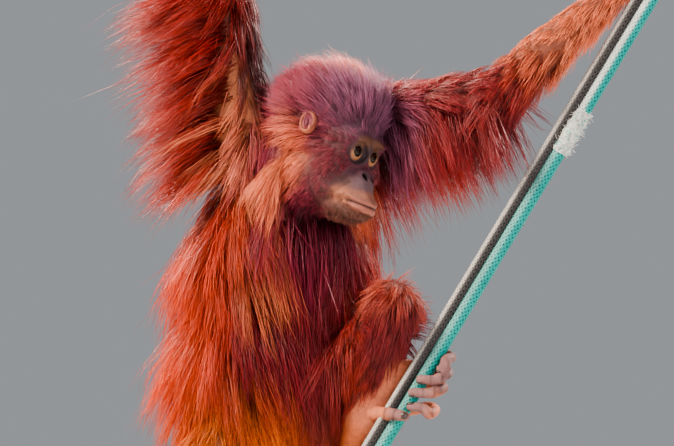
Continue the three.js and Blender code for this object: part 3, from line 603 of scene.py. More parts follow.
def mesh_object(name, points, faces):
    """A smooth mesh from points in millimetres and an array of faces, as an object at the origin."""
    mesh = bpy.data.meshes.new(name)
    mesh.vertices.add(len(points))
    mesh.vertices.foreach_set("co", (np.asarray(points) * MM).astype(np.float32).ravel())
    mesh.loops.add(faces.size)
    mesh.loops.foreach_set("vertex_index", faces.astype(np.int32).ravel())
    mesh.polygons.add(len(faces))
    mesh.polygons.foreach_set("loop_start", np.arange(len(faces), dtype=np.int32) * faces.shape[1])
    mesh.polygons.foreach_set("use_smooth", np.ones(len(faces), bool))
    mesh.update(calc_edges=True)
    mesh.validate()
    return placed(name, mesh)


def set_attribute(mesh, name, kind, values):
    layer = mesh.attributes.new(name, kind, "POINT")
    field = {"FLOAT": "value", "FLOAT_VECTOR": "vector", "FLOAT_COLOR": "color"}[kind]
    layer.data.foreach_set(field, np.asarray(values, np.float32).ravel())


skin_piece = mesh_object("skin", skin_points, skin_quads)
print("skin", len(skin_points), "points", 2 * len(skin_quads), "triangles")

# %% [markdown]
# The skin's colour changes from place to place: dark and greyish over brow and nose, pale tan lids, a
# muzzle that warms towards the salmon lips, peach ears and soles, and paler skin in the armpit.

# %% Colours of the skin
BODY_SKIN = colour(122, 66, 48)
PALE_SKIN = colour(200, 120, 80)
skin_shade = np.tile(BODY_SKIN, (len(skin_points), 1))


def tint_skin(share, tone):
    skin_shade[:] = mixed(skin_shade, tone, np.clip(share, 0, 1)[:, None])


def spot(at, half, soft, points):
    """1 inside an ellipsoid, falling to 0 over a share of its size outside."""
    far = np.linalg.norm((points - at) / vec(*half), axis=1)
    return 1 - ramp(1 - soft / 2, 1 + soft / 2, far)


def both_sides(q):
    """Places in the head's frame, with its right side folded onto its left."""
    return q * vec(1, 0, 1) + np.abs(q) * vec(0, 1, 0)


face_points = to_head(skin_points)
folded = both_sides(face_points)
for at, half in ((vec(-95, -10, 740), (60, 80, 130)), (vec(-56, -80, 618), (40, 60, 46))):
    tint_skin(spot(at, half, 0.8, skin_points), PALE_SKIN)

# Each row: how much, where, how large, how soft, and the tone.
FACE_TINTS = (
    (1, (66, 0, -40), (70, 54, 62), 0.5, (96, 62, 66)),
    (1, (64, 0, -4), (30, 44, 13), 0.9, (106, 70, 64)),
    (1, (70, 12, -8), (12, 14, 7), 0.9, (116, 76, 58)),
    (1, (70, 0, -27), (16, 8, 15), 0.7, (76, 56, 60)),
    (1, (66, 24, -44), (18, 15, 10), 0.9, (82, 58, 66)),
    (1, (80, 0, -47), (16, 15, 10), 0.7, (84, 70, 78)),
    (1, (84, 0, -60), (22, 26, 12), 0.9, (112, 82, 86)),
    (1, (74, 34, -66), (14, 14, 16), 0.9, (112, 72, 66)),
    (1, (90, 0, -74), (24, 26, 8), 0.9, (170, 112, 92)),
    (1, (74, 29, -81), (17, 14, 11), 0.9, (166, 100, 74)),
    (1, (78, 0, -102), (40, 38, 14), 0.6, (88, 52, 42)),
    (0.7, (92, 0, -96), (20, 24, 5), 0.9, (122, 74, 56)),
)
for share, at, half, soft, tone in FACE_TINTS:
    tint_skin(share * spot(vec(*at), half, soft, folded), colour(*tone))

# %% [markdown]
# Eyes, lips and nostrils are tinted on the same measures that shaped them, so colour and form agree: the
# lids are pale, and darker above in painted shade under the brow; painted shade lies in the crease under
# the bag, in the groove where the lips meet and inside the nostrils; and the lids' edge is the palest.

# %% Colours round the eyes, the mouth and the nose
from_eye = folded - vec(EYE_X, EYE_SPREAD, EYE_Z)
opening = np.hypot(from_eye[:, 1] / EYE_WIDE, from_eye[:, 2] / EYE_HIGH)
in_front = ramp(2, 6, from_eye[:, 0])
from_bag = np.hypot(from_eye[:, 1] * 0.98, from_eye[:, 2] + 1.2)
lid_share = (1 - ramp(9.2, 11.8, from_bag)) * in_front
tint_skin(lid_share, colour(190, 126, 84))
# Painted shade under the brow: the upper half of the lids is darkened.
tint_skin(lid_share * ramp(-4.0, 1.5, from_eye[:, 2]), colour(84, 54, 46))
# Painted shade in the crease under the bag.
crease = np.exp(-((from_bag - 12.9) / 1.5) ** 2) * in_front * (1 - ramp(-3, 4, from_eye[:, 2]))
tint_skin(0.7 * crease, colour(56, 38, 40))
# The pale edge of the lids is left off their top, which stays in the painted shade.
rim = (1 - ramp(1.12, 1.26, opening)) * in_front * (1 - 0.85 * ramp(-3, 3, from_eye[:, 2]))
tint_skin(rim, colour(208, 152, 108))
tint_skin((1 - ramp(0.98, 1.1, opening)) * in_front, colour(44, 26, 23))
mouth_off = face_points[:, 2] + 83.0
forward = face_points[:, 0]
at_lips = ramp(-10.5, -8.0, mouth_off) * (1 - ramp(3.6, 6.2, mouth_off)) * ramp(80, 86, forward)
tint_skin(at_lips * ramp(80, 95, forward), colour(186, 110, 90))
# Painted shade in the groove where the lips meet.
tint_skin(ramp(78, 84, forward) * np.exp(-((mouth_off / 1.4) ** 2)), colour(36, 15, 15))
# Painted shade inside the nostrils.
tint_skin(spot(vec(81, 6.8, -50.6), (8, 4.2, 5.6), 0.5, folded), colour(20, 12, 13))

# %% [markdown]
# Ears, palms and soles are the palest skin: they are bare and the blood shows through. Towards the tips
# of the digits the skin turns grey, and each joint has a dark crease across it.

# %% Colours of the ears, the hands and the feet
for side in (-1, 1):
    ear = EAR_AT * vec(1, side, 1)
    on_ear = 1 - ramp(0.9, 1.2, np.linalg.norm((face_points - ear) / vec(15, 13, 17), axis=1))
    tint_skin(on_ear, colour(186, 104, 78))
    cup = spot(ear + vec(1.2, 0, 1), (8.4, 9, 10.6), 0.4, face_points)
    tint_skin(cup * on_ear, colour(138, 66, 78))
for name in ("left_foot", "right_foot", "left_hand", "right_hand"):
    at, reach, _ = FINE[name]
    far = np.linalg.norm(skin_points - at, axis=1)
    tint_skin(1 - ramp(reach * 0.72, reach * 0.95, far), colour(230, 134, 98))
tint_skin(spot(left_heel, (40, 40, 40), 0.9, skin_points), colour(204, 104, 58))
for at, way, _ in digit_ends:
    tint_skin(0.8 * (1 - ramp(14, 34, np.linalg.norm(skin_points - at, axis=1))), colour(160, 114, 110))
    for back in (13, 27):
        joint = np.abs((skin_points - at) @ way + back) / 1.6
        near_joint = np.linalg.norm(skin_points - at + back * way, axis=1) < 13
        tint_skin(0.6 * np.exp(-(joint ** 2)) * near_joint, colour(62, 36, 36))
gloss = np.clip(at_lips * 0.5 + (1 - ramp(1.0, 1.4, opening)) * in_front * 0.6, 0, 1)
set_attribute(skin_piece.data, "moist", "FLOAT", gloss)


# %% [markdown]
# Materials are built from small node graphs, where each sum is a node and each link a line. Wired by hand
# they would fill pages, so a socket is wrapped in a Value, and a Python sum on Values adds the nodes.

# %% Node graphs as expressions
class Value:
    """A node's output that takes part in Python sums."""

    def __init__(self, graph, socket):
        self.graph, self.socket = graph, socket

    def sum_with(self, operation, *others, swap=False):
        both = [self, *others]
        if swap:
            both = both[::-1]
        sockets = [v.socket for v in both if isinstance(v, Value)]
        vector = any(s.type in ("VECTOR", "RGBA") for s in sockets)
        kind = "ShaderNodeVectorMath" if vector else "ShaderNodeMath"
        values = {n: (v,) * 3 if vector and isinstance(v, (int, float)) else v for n, v in enumerate(both)}
        return self.graph.node(kind, {"operation": operation}, values)

    def __add__(self, other):
        return self.sum_with("ADD", other)

    def __sub__(self, other):
        return self.sum_with("SUBTRACT", other)

    def __mul__(self, other):
        return self.sum_with("MULTIPLY", other)

    def __truediv__(self, other):
        return self.sum_with("DIVIDE", other)

    def __radd__(self, other):
        return self.sum_with("ADD", other, swap=True)

    def __rsub__(self, other):
        return self.sum_with("SUBTRACT", other, swap=True)

    def __rmul__(self, other):
        return self.sum_with("MULTIPLY", other, swap=True)

    def sine(self):
        return self.sum_with("SINE")

    def between(self, low, high):
        """A smooth step from 0 at low to 1 at high."""
        values = {"Value": self, "From Min": low, "From Max": high}
        return self.graph.node("ShaderNodeMapRange", {"interpolation_type": "SMOOTHSTEP"}, values)


class Graph:
    """A node tree that nodes are added to, one call for each."""

    def __init__(self, tree):
        self.tree = tree

    def node(self, kind, settings=None, values=None, out=0):
        """A node of a type, with its settings made first, then the values or links of its sockets."""
        made = self.tree.nodes.new(kind)
        for name, value in (settings or {}).items():
            setattr(made, name, value)
        for name, value in (values or {}).items():
            socket = made.inputs[name]
            if isinstance(value, Value):
                self.tree.links.new(value.socket, socket)
            else:
                socket.default_value = value
        return Value(self, made.outputs[out])

    def mix(self, share, one, two):
        """One colour at share 0, the other at share 1."""
        one, two = [(*c, 1) if not isinstance(c, Value) else c for c in (one, two)]
        return self.node("ShaderNodeMix", {"data_type": "RGBA"}, {0: share, 6: one, 7: two}, out=2)


class Finish(Graph):
    """A material with one Principled shader."""

    def __init__(self, name, **constants):
        self.material = bpy.data.materials.new(name)
        self.material.use_nodes = True
        super().__init__(self.material.node_tree)
        self.shader = self.tree.nodes["Principled BSDF"]
        for socket, value in constants.items():
            self.set(socket.replace("_", " "), value)

    def set(self, socket, value):
        if isinstance(value, Value):
            self.tree.links.new(value.socket, self.shader.inputs[socket])
        else:
            self.shader.inputs[socket].default_value = (*value, 1) if np.ndim(value) == 1 else value

    def place(self):
        return self.node("ShaderNodeTexCoord", out="Object")

    def read(self, name, out="Color"):
        return self.node("ShaderNodeAttribute", {"attribute_name": name}, out=out)

    def noise(self, scale, detail, at, **more):
        values = {"Scale": scale, "Detail": detail, "Vector": at, **more}
        return self.node("ShaderNodeTexNoise", values=values, out="Fac")

    def bump(self, height, distance, strength=1.0):
        self.set("Normal", self.node("ShaderNodeBump", values={
            "Height": height, "Distance": distance, "Strength": strength}))


def dress(piece, finish):
    piece.data.materials.clear()
    piece.data.materials.append(finish.material)


# %% [markdown]
# Bare ape skin is never one colour: fine wrinkles net it, pores speckle it, and larger blotches vary it.
# Three noises of different grain do this in the colour and in the bump, and a net of cells adds the folds.

# %% Skin: fine folds, pores and mottling
skin_finish = Finish("skin", Roughness=0.55)
at = skin_finish.place()
blotches = skin_finish.noise(130.0, 4.0, at)
fine = skin_finish.noise(900.0, 3.0, at)
creases = skin_finish.node("ShaderNodeTexVoronoi", {"feature": "DISTANCE_TO_EDGE"},
                           {"Vector": at, "Scale": 760.0})
shade = skin_finish.read("shade")
wrinkles = skin_finish.noise(420.0, 2.0, at, Distortion=1.2)
shade = shade * (0.5 + 0.7 * blotches) * (0.72 + 0.4 * fine) * (0.74 + 0.6 * wrinkles)
skin_finish.set("Base Color", shade)
moist = skin_finish.read("moist", "Fac")
skin_finish.set("Roughness", 0.54 - 0.3 * moist + 0.14 * blotches)
skin_finish.bump(creases.between(0.0, 0.25) * 0.4 + fine * 0.5 + wrinkles * 1.3 + blotches, 0.0007, 0.8)
dress(skin_piece, skin_finish)
FLESH = ["head", "neck", "torso"] + [f"{part}_{s}" for s in SIDES for part in
         ("ear", "upper_arm", "forearm", "hand", "thigh", "shin", "foot")]
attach(skin_piece, "root")
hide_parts(*FLESH)


# %% [markdown]
# The eyes are wet balls, almost all iris: a brown so dark that the pupil hardly shows, with an amber
# edge. Nails are small, dark, domed plates on the outer side of each digit's tip.

# %% A mesh of ellipsoids
def smooth_object(name, points, faces):
    """A smooth mesh from points in millimetres and lists of corners, as an object at the origin."""
    mesh = bpy.data.meshes.new(name)
    mesh.from_pydata((points * MM).tolist(), [], faces)
    mesh.shade_smooth()
    return placed(name, mesh)


def rounded(name, parts, around, rows):
    """One mesh of ellipsoids, each from its middle, its half sizes and its axes."""
    theta = np.linspace(0, math.pi, rows + 1)[1:-1]
    phi = np.arange(around) * 2 * math.pi / around
    ring = np.stack([np.outer(np.cos(theta), np.ones(around)), np.outer(np.sin(theta), np.cos(phi)),
                     np.outer(np.sin(theta), np.sin(phi))], -1).reshape(-1, 3)
    ball = np.concatenate([ring, [[1, 0, 0], [-1, 0, 0]]])
    r, c = np.meshgrid(np.arange(rows - 2), np.arange(around), indexing="ij")
    a, b = (r * around + c).ravel(), (r * around + (c + 1) % around).ravel()
    faces = np.c_[a, a + around, b + around, b]
    first, last = np.arange(around), (rows - 2) * around + np.arange(around)
    top, low = len(ring), len(ring) + 1
    fans = [[top, i, (i + 1) % around] for i in first]
    fans += [[low, last[(i + 1) % around], last[i]] for i in first]
    points, quads, tris = [], [], []
    for n, (at, half, axes) in enumerate(parts):
        points.append(at + (ball * vec(*half)) @ axes)
        quads.append(faces + n * len(ball))
        tris.append(np.array(fans) + n * len(ball))
    points, quads, tris = np.concatenate(points), np.concatenate(quads), np.concatenate(tris)
    return smooth_object(name, points, quads.tolist() + tris.tolist())


def axes_from(forward, near_up):
    forward = unit(forward)
    aside = unit(np.cross(near_up, forward))
    return np.array([forward, aside, np.cross(forward, aside)])


# %% Eyes and nails
IRIS_R, PUPIL_R = 5.9, 2.4
CORNEA_R, CORNEA_OUT = EYE_R - 3.0, 3.6
for side, s in zip((-1, 1), SIDES):
    middle = in_head(vec(EYE_X, side * EYE_SPREAD, EYE_Z))
    gaze = unit(vec(1, 0.16, -0.08)) @ HEAD
    axes = axes_from(gaze, head_up)
    eye = rounded("eyeball_" + s, [(middle, (EYE_R,) * 3, axes),
                                   (middle + CORNEA_OUT * gaze, (CORNEA_R,) * 3, axes)], 48, 24)
    eye_finish = Finish("eye_" + s, Roughness=0.07, Specular_IOR_Level=0.35)
    off = eye_finish.place() - tuple(middle * MM)
    aside = off.sum_with("CROSS_PRODUCT", tuple(gaze))
    far = eye_finish.node("ShaderNodeVectorMath", {"operation": "LENGTH"}, {0: aside}, out="Value") / MM
    grain = eye_finish.noise(1400.0, 2.0, eye_finish.place())
    tone = eye_finish.mix(far.between(PUPIL_R - 0.2, PUPIL_R + 0.2), colour(4, 3, 3), colour(30, 15, 9))
    tone = eye_finish.mix(far.between(3.8, 5.6), tone, colour(62, 33, 16))
    tone = eye_finish.mix(far.between(IRIS_R - 0.5, IRIS_R + 0.1), tone, colour(26, 14, 11))
    eye_finish.set("Base Color", tone * (0.7 + 0.6 * grain))
    dress(eye, eye_finish)
    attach(eye, "root")
    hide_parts("eye_" + s)

nail_parts = []
for (at, way, tip), outward in zip(digit_ends, digit_outs):
    axes = axes_from(way, outward)
    nail_parts.append((at - 0.5 * way + axes[2] * tip * 0.66, (5.0, 4.7, 2.4), axes))
nails = rounded("nails", nail_parts, 16, 8)
nail_finish = Finish("nail", Base_Color=colour(70, 54, 50), Roughness=0.32)
dress(nails, nail_finish)
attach(nails, "root")
print("eyes and", len(nail_parts), "nails")

# %% [markdown]
# An orangutan's coat is sparse but very long, and it gathers into locks: hairs that root some way apart
# lean together towards one tip. Such a coat could be combed curves, but the export keeps only meshes, so
# every hair is a thin, closed, three-sided blade. First come the locks: where they root, and how they lie.

# %% Where the coat grows
PARTS = {
    "trunk": ([(-22, 14, 380), (-25, -2, 478), (-18, 8, 596), (-4, 26, 700)], (66, 86, 80, 56)),
    "neck": ([(4, 0, 690), (20, -38, 735)], (48, 44)),
    "head": ([in_head(vec(-4, 0, 8)), in_head(vec(40, 0, -50))], (58, 46)),
}
for s in SIDES:
    PARTS["upper_arm_" + s] = ([shoulder[s], elbow[s]], (33, 24))
    PARTS["forearm_" + s] = ([elbow[s], wrist[s]], (25, 15))
    PARTS["thigh_" + s] = ([hip[s], knee[s]], (40, 27))
    PARTS["shin_" + s] = ([knee[s], ankle[s]], (28, 17))
PARTS = {name: (np.array(line, float), radii) for name, (line, radii) in PARTS.items()}


def along_part(name, p):
    """How far off a part's skin each point lies, its share along the part, and the part's own way there."""
    points, radii = PARTS[name]
    best, share = np.full(len(p), np.inf), np.zeros(len(p))
    ways = np.zeros((len(p), 3))
    for n, (a, b, r, q) in enumerate(zip(points, points[1:], radii, radii[1:])):
        way = b - a
        t = np.clip((p - a) @ way / (way @ way), 0, 1)
        d = np.linalg.norm(p - a - t[:, None] * way, axis=1) - r - (q - r) * t
        won = d < best
        best[won], share[won], ways[won] = d[won], ((n + t) / (len(points) - 1))[won], unit(way)
    return best, share, ways


faces_kept = on_skin[skin_quads].all(1)
corners = skin_points[skin_quads[faces_kept]]
diagonals = corners[:, 2] - corners[:, 0], corners[:, 3] - corners[:, 1]
face_area = 0.5 * np.linalg.norm(np.cross(*diagonals), axis=1)
face_middle = corners.mean(1)
face_part_far = np.array([along_part(name, face_middle)[0] for name in PARTS])
face_part = np.array(list(PARTS))[face_part_far.argmin(0)]

# %% [markdown]
# Apes are bare on the face, the ears, the palms and the soles, and nearly so on the digits. Bareness is
# one number from 0 to 1 at each place, and the coat, the skin's tint and the stubble all read it.

# %% Where the skin is bare
BARE_BONES = [
    (left_heel + vec(6, -10, 0), left_ball, 33), (right_heel, right_ball, 32),
    (mixed(wrist["left"], left_knuckles, 0.5), left_knuckles, 30),
    (mixed(wrist["right"], right_knuckles, 0.5), right_knuckles, 32),
]


def bareness(p):
    """1 where the skin is bare: face, ears, hands, feet, and 0 where the coat grows."""
    q = to_head(p)
    m = both_sides(q)
    bare = spot(vec(70, 15, -24), (20, 17.5, 15), 0.2, m)
    bare = np.maximum(bare, spot(vec(74, 8, -9), (12, 22, 8), 0.3, m))
    bare = np.maximum(bare, spot(vec(74, 0, -80), (42, 42, 36), 0.5, q))
    bare = np.maximum(bare, spot(vec(12, 64, -11), (15, 13, 17), 0.3, m))
    for a, b, reach in BARE_BONES:
        t = np.clip((p - a) @ (b - a) / ((b - a) @ (b - a)), 0, 1)
        far = np.linalg.norm(p - a - t[:, None] * (b - a), axis=1)
        bare = np.maximum(bare, 1 - ramp(reach, reach + 8, far))
    for line in digit_lines:
        near = np.flatnonzero(((p > line.min(0) - 18) & (p < line.max(0) + 18)).all(1))
        off = np.linalg.norm(p[near, None] - line[None], axis=2).min(1)
        bare[near] = np.maximum(bare[near], 1 - ramp(13, 17, off))
    return bare


def hairline(p):
    """Roughly how far a place on the head is from the bare face, in millimetres."""
    q = to_head(p)
    return np.minimum(np.linalg.norm((q - vec(70, 0, -22)) / vec(20, 33, 17), axis=1) - 1,
                      np.linalg.norm((q - vec(74, 0, -80)) / vec(42, 42, 36), axis=1) - 1) * 30


face_bare = bareness(face_middle)
for name in PARTS:
    print(name, round(face_area[(face_part == name) & (face_bare < 0.5)].sum() / 100), "cm2 of coat")


# %% [markdown]
# Long hair hangs, but not straight down: it leaves the skin at a slant, follows the limb, and then falls.
# So each part has one rule that gives a lock's way out, its way at the end, and its length in millimetres.
# Every rule gets the same four things: places, normals, the share along the part, and the part's own way.

# %% How the locks lie, part by part
LEFTWARD = vec(-1, 0, 0)
FACE_FRONT = in_head(vec(100, 0, -58))


def shares(*pairs):
    """A way made of several ways, each with its share."""
    return unit(sum(np.asarray(share, float).reshape(-1, 1) * way for share, way in pairs))


def ruffled(way, amount):
    """Ways that stray, where wind and movement have parted the locks."""
    return unit(way + rng.normal(0, amount, way.shape))


def hang_head(p, n, t, way):
    away = p - FACE_FRONT
    away = unit(away - (away * n).sum(1)[:, None] * n)
    far = hairline(p)
    length = 6 + 22 * ramp(0, 30, far) + 24 * ramp(30, 75, far)
    low = ramp(0, -50, to_head(p)[:, 2])
    lie = shares((0.35, n), (1, away), (0.1 + low, DOWN))
    return lie, shares((0.12, n), (1, away), (0.5 + low, DOWN)), length


def stubble_share(p):
    """Where the bare face carries a few short hairs: the chin, the cheeks of the muzzle and the brow."""
    q = to_head(p)
    low = spot(vec(78, 0, -96), (44, 44, 22), 0.9, q) * (1 - spot(vec(100, 0, -83), (22, 30, 8), 0.4, q))
    return bareness(p) * np.maximum(low, 0.3 * spot(vec(66, 0, -2), (24, 34, 9), 0.9, q))


def hang_stubble(p, n, t, way):
    away = unit(p - FACE_FRONT)
    return shares((0.5, n), (0.5, away), (0.5, DOWN)), shares((0.1, n), (0.5, away), (0.9, DOWN)), 6 + 0 * t


def hang_neck(p, n, t, way):
    return shares((0.5, n), (1, DOWN)), shares((0.05, n), (1, DOWN)), np.full(len(p), 88.0)


def hang_trunk(p, n, t, way):
    flank = ramp(-0.1, 0.8, n @ LEFTWARD)
    front = ramp(0.1, 0.9, n @ vec(0, -1, 0))
    inward = np.clip((8 - p[:, :1]) / 60, -1, 1) * vec(1, 0, 0)
    lie = shares((0.5 + 0.35 * flank, n), (1 - 0.2 * flank, DOWN), (0.25 * front, inward))
    end = shares((0.05 + 0.15 * flank, n), (1, DOWN), (0.4 * front, inward))
    length = 112 + 32 * flank - 34 * ramp(0.3, 0.0, t)
    return lie, end, length


def hang_upper_arm_right(p, n, t, way):
    inner = ramp(-0.1, 0.7, n @ vec(1, 0, 0))
    lie = shares((0.5, n), (1 - inner, LEFTWARD), (0.15 + 0.9 * inner, DOWN))
    end = shares((0.75 * (1 - inner), LEFTWARD), (1.0 - 0.5 * t, DOWN))
    return ruffled(lie, 0.09), ruffled(end, 0.12), 126 - 56 * inner


def hang_forearm_right(p, n, t, way):
    lie = shares((0.6, n), (0.8, LEFTWARD), (0.3, DOWN))
    return ruffled(lie, 0.09), ruffled(shares((0.6, LEFTWARD), (0.6, DOWN)), 0.12), 96 - 44 * t


def hang_upper_arm_left(p, n, t, way):
    top = ramp(-0.2, 0.7, n[:, 2])
    lie = shares((0.35, n), (0.35 + 0.8 * top, way), (0.8 - 0.8 * top, DOWN))
    end = shares((0.08, n), (0.45 + 0.6 * top, way), (0.95 - 0.75 * top, DOWN))
    return lie, end, (122 - 34 * t) * (1 - 0.55 * top)


def hang_forearm_left(p, n, t, way):
    top = ramp(-0.2, 0.7, n[:, 2])
    lie = shares((0.4, n), (-0.7, way), (0.45 - 0.4 * top, DOWN))
    end = shares((0.05, n), (-0.85, way), (0.6 - 0.4 * top, DOWN))
    return lie, end, (54 - 32 * t) * (1 - 0.5 * top)


def hang_thigh(p, n, t, way):
    over = ramp(0.55, 0.95, t)
    lie = shares((0.35, n), (0.35 + 0.8 * over, way), (0.8 - 0.75 * over, DOWN))
    return lie, shares((0.05, n), (0.2 + 0.5 * over, way), (1 - 0.4 * over, DOWN)), 72 - 26 * t


def hang_shin(p, n, t, way):
    return shares((0.26, n), (1, way), (0.15, DOWN)), shares((0.02, n), (1, way), (0.25, DOWN)), 40 - 20 * t


# %% [markdown]
# The coat's colours, with sunlight and shade painted into them: orange where painted sunlight falls on the
# right flank and the top of the left arm, painted highlights on the left forearm and the crown, crimson to
# purple over chest, shoulders, the underside of the left arm and the left leg, partly the coat's own colour
# and partly painted shade, near black painted shade inside the right arm, mauve and short on the head,
# ochre low on the belly and peach along the inner arms.

# %% Colours of the coat with its painted sunlight and shade, and of the skin under it
BASE_COAT = colour(178, 52, 26)
# Each row: how much, where, how large, how soft, and the tone.
BODY_TONES_AND_PAINTED_LIGHT = (
    # The chest and the upper chest (two rows): a crimson coat, deepened by painted shade.
    (1, (-16, -80, 510), (86, 90, 165), 0.9, (122, 26, 34)),
    (1, (30, -70, 660), (70, 80, 60), 0.9, (126, 30, 52)),
    (1, (-110, 0, 900), (60, 90, 190), 0.9, (150, 38, 28)),
    # Painted shade: the dark crimson shoulder behind the head.
    (1, (56, -50, 700), (56, 70, 60), 0.9, (118, 28, 44)),
    # Painted sunlight: the brighter orange of the right flank.
    (1, (-150, -20, 535), (60, 120, 150), 0.9, (212, 74, 28)),
    (1, (-60, -60, 395), (90, 90, 75), 0.9, (222, 112, 34)),
    (0.8, (-56, -80, 610), (28, 60, 36), 0.9, (226, 126, 84)),
    (1, (-60, -50, 800), (20, 60, 80), 0.9, (228, 130, 84)),
    (0.75, (-62, -60, 712), (26, 50, 40), 0.9, (232, 142, 96)),
    # Painted shade: the near black hair on the inner side of the right upper arm.
    (1, (-56, -20, 870), (22, 60, 80), 0.8, (84, 26, 30)),
    # The left arm (three rows): crimson deepened by painted shade under it, a painted highlight on the
    # forearm and painted sunlight on the top of the upper arm.
    (1, (230, -80, 800), (120, 60, 60), 0.9, (138, 38, 40)),
    (1, (330, -100, 892), (130, 70, 66), 0.8, (228, 126, 88)),
    (1, (150, -40, 850), (60, 60, 34), 0.9, (236, 104, 34)),
    # The left shin (two rows): a crimson coat, deepened by painted shade.
    (1, (100, -100, 480), (96, 90, 104), 0.8, (134, 44, 46)),
    (1, (62, -90, 450), (30, 60, 70), 0.9, (150, 48, 36)),
    (1, (108, -80, 560), (44, 50, 30), 0.9, (186, 84, 62)),
)
HEAD_TONES_AND_PAINTED_LIGHT = (
    (1, (0, 0, 0), (110, 90, 100), 0.5, (152, 62, 78)),
    (1, (45, 0, 20), (48, 60, 44), 0.8, (136, 80, 104)),
    # The pink crown: reddish hair, paled by a painted highlight of light from behind.
    (1, (0, 0, 70), (60, 60, 26), 0.8, (204, 116, 106)),
    (1, (-4, 55, -54), (34, 36, 40), 0.9, (226, 122, 88)),
    (1, (50, 45, -50), (22, 22, 40), 0.8, (138, 58, 66)),
)


def coat_colour_and_painted_light(p):
    """The coat's colour at each place, with painted sunlight and shade: the base, then one tone over
    another.
    """
    tone = np.tile(BASE_COAT, (len(p), 1))
    for places, rows in ((p, BODY_TONES_AND_PAINTED_LIGHT), (both_sides(to_head(p)), HEAD_TONES_AND_PAINTED_LIGHT)):
        for amount, at, half, soft, shade in rows:
            share = np.clip(amount * spot(vec(*at), half, soft, places), 0, 1)[:, None]
            tone = mixed(tone, colour(*shade), share)
    return tone


def thinness(p):
    """How densely the coat grows: thin in the armpit, in the breast's fold and along the inner arm."""
    d = np.ones(len(p))
    d *= 1 - 0.5 * spot(vec(-70, -50, 790), (42, 60, 110), 0.8, p)
    d *= 1 - 0.5 * spot(vec(-80, -70, 690), (40, 40, 50), 0.8, p)
    d *= 1 - 0.6 * spot(vec(-56, -80, 622), (34, 50, 36), 0.8, p)
    return d


# The skin under the coat takes the coat's colour darkened to 0.42: painted shade of the hair over it, so
# that gaps between hairs read dark.
covered = (1 - bareness(skin_points)) * (1.3 * thinness(skin_points) - 0.3)
skin_shade = mixed(skin_shade, 0.42 * coat_colour_and_painted_light(skin_points), 0.9 * np.clip(covered, 0, 1)[:, None])
set_attribute(skin_piece.data, "shade", "FLOAT_COLOR", np.c_[skin_shade, np.ones(len(skin_points))])


# %% [markdown]
# One graph grows every piece of the coat. Each root carries how its hair leaves the skin, how it ends,
# its width and its colour. The graph sets a straight blade on each root, makes the blades real, bends
# them along their own lie, and lays each one on a small patch of a map of the body's own surface.

# %% The blade and the graph that grows it
RINGS = [(0.0, 0.7), (0.37, 1.0), (0.73, 0.62)]


def blade_object():
    """A closed three-sided blade. Its points carry their place along, across and above it."""
    section = [(-0.5, 0.0), (0.5, 0.0), (0.0, 0.55)]
    along = [t for t, _ in RINGS for _ in section] + [1.0]
    aside = [x * wide for _, wide in RINGS for x, _ in section] + [0.0]
    high = [y * wide for _, wide in RINGS for _, y in section] + [0.0]
    faces = [(0, 2, 1)]
    for row in range(len(RINGS) - 1):
        for k in range(3):
            a, b = row * 3 + k, row * 3 + (k + 1) % 3
            faces += [(a, b, b + 3, a + 3)]
    last = 3 * (len(RINGS) - 1)
    faces += [(last + k, last + (k + 1) % 3, last + 3) for k in range(3)]
    mesh = bpy.data.meshes.new("blade")
    mesh.from_pydata([(MM * x, MM * y, MM * z) for x, y, z in zip(aside, high, along)], [], faces)
    mesh.shade_smooth()
    for name, values in (("along", along), ("aside", aside), ("high", high)):
        set_attribute(mesh, name, "FLOAT", values)
    print("a blade has", sum(len(f) - 2 for f in faces), "triangles")
    return bpy.data.objects.new("blade", mesh)


def hair_graph():
    tree = bpy.data.node_groups.new("grow_hair", "GeometryNodeTree")
    for name, kind in (("Roots", "Geometry"), ("Blade", "Object"), ("Curl", "Float"), ("Patch", "Float"),
                       ("Finish", "Material")):
        tree.interface.new_socket(name, in_out="INPUT", socket_type="NodeSocket" + kind)
    tree.interface.new_socket("Hair", in_out="OUTPUT", socket_type="NodeSocketGeometry")
    graph = Graph(tree)
    given = tree.nodes.new("NodeGroupInput").outputs

    def ask(name):
        return Value(graph, given[name])

    def read(name, kind="FLOAT"):
        node = tree.nodes.new("GeometryNodeInputNamedAttribute")
        node.data_type = kind
        node.inputs["Name"].default_value = name
        return Value(graph, node.outputs["Attribute"])

    blade = graph.node("GeometryNodeObjectInfo", values={"Object": ask("Blade")}, out="Geometry")
    set_out = graph.node("GeometryNodeInstanceOnPoints", values={"Points": ask("Roots"), "Instance": blade})
    real = graph.node("GeometryNodeRealizeInstances", values={"Geometry": set_out})
    t, u, v = read("along"), read("aside"), read("high")
    root, lie, end, side = (read(name, "FLOAT_VECTOR") for name in ("root", "lie", "end", "side"))
    half_square = t * t * 0.5
    above = side.sum_with("CROSS_PRODUCT", lie).sum_with("NORMALIZE")
    bend = root + lie * (t - half_square) + end * half_square
    wave = (t * read("turns") + read("phase")).sine() * t * read("sway") * ask("Curl")
    spot_on = bend + side * (u * read("wide") + wave) + above * (v * read("wide"))
    bent = graph.node("GeometryNodeSetPosition", values={"Geometry": real, "Position": spot_on})
    patch = read("patch", "FLOAT_VECTOR")
    across = graph.node("ShaderNodeCombineXYZ", values={"X": u + 0.5, "Y": t})
    laid = graph.node("GeometryNodeStoreNamedAttribute", {"data_type": "FLOAT2", "domain": "CORNER"},
                      {"Geometry": bent, "Name": "OFBake", "Value": patch + across * ask("Patch")})
    done = graph.node("GeometryNodeSetMaterial", values={"Geometry": laid, "Material": ask("Finish")})
    tree.links.new(done.socket, tree.nodes.new("NodeGroupOutput").inputs[0])
    return tree


blade = blade_object()
grow_hair = hair_graph()


# %% [markdown]
# The roots go in as a mesh of loose points that carry the attributes, the graph runs once, and its result
# is kept as a plain mesh. Only the tint, the place along the hair and the map stay on it.

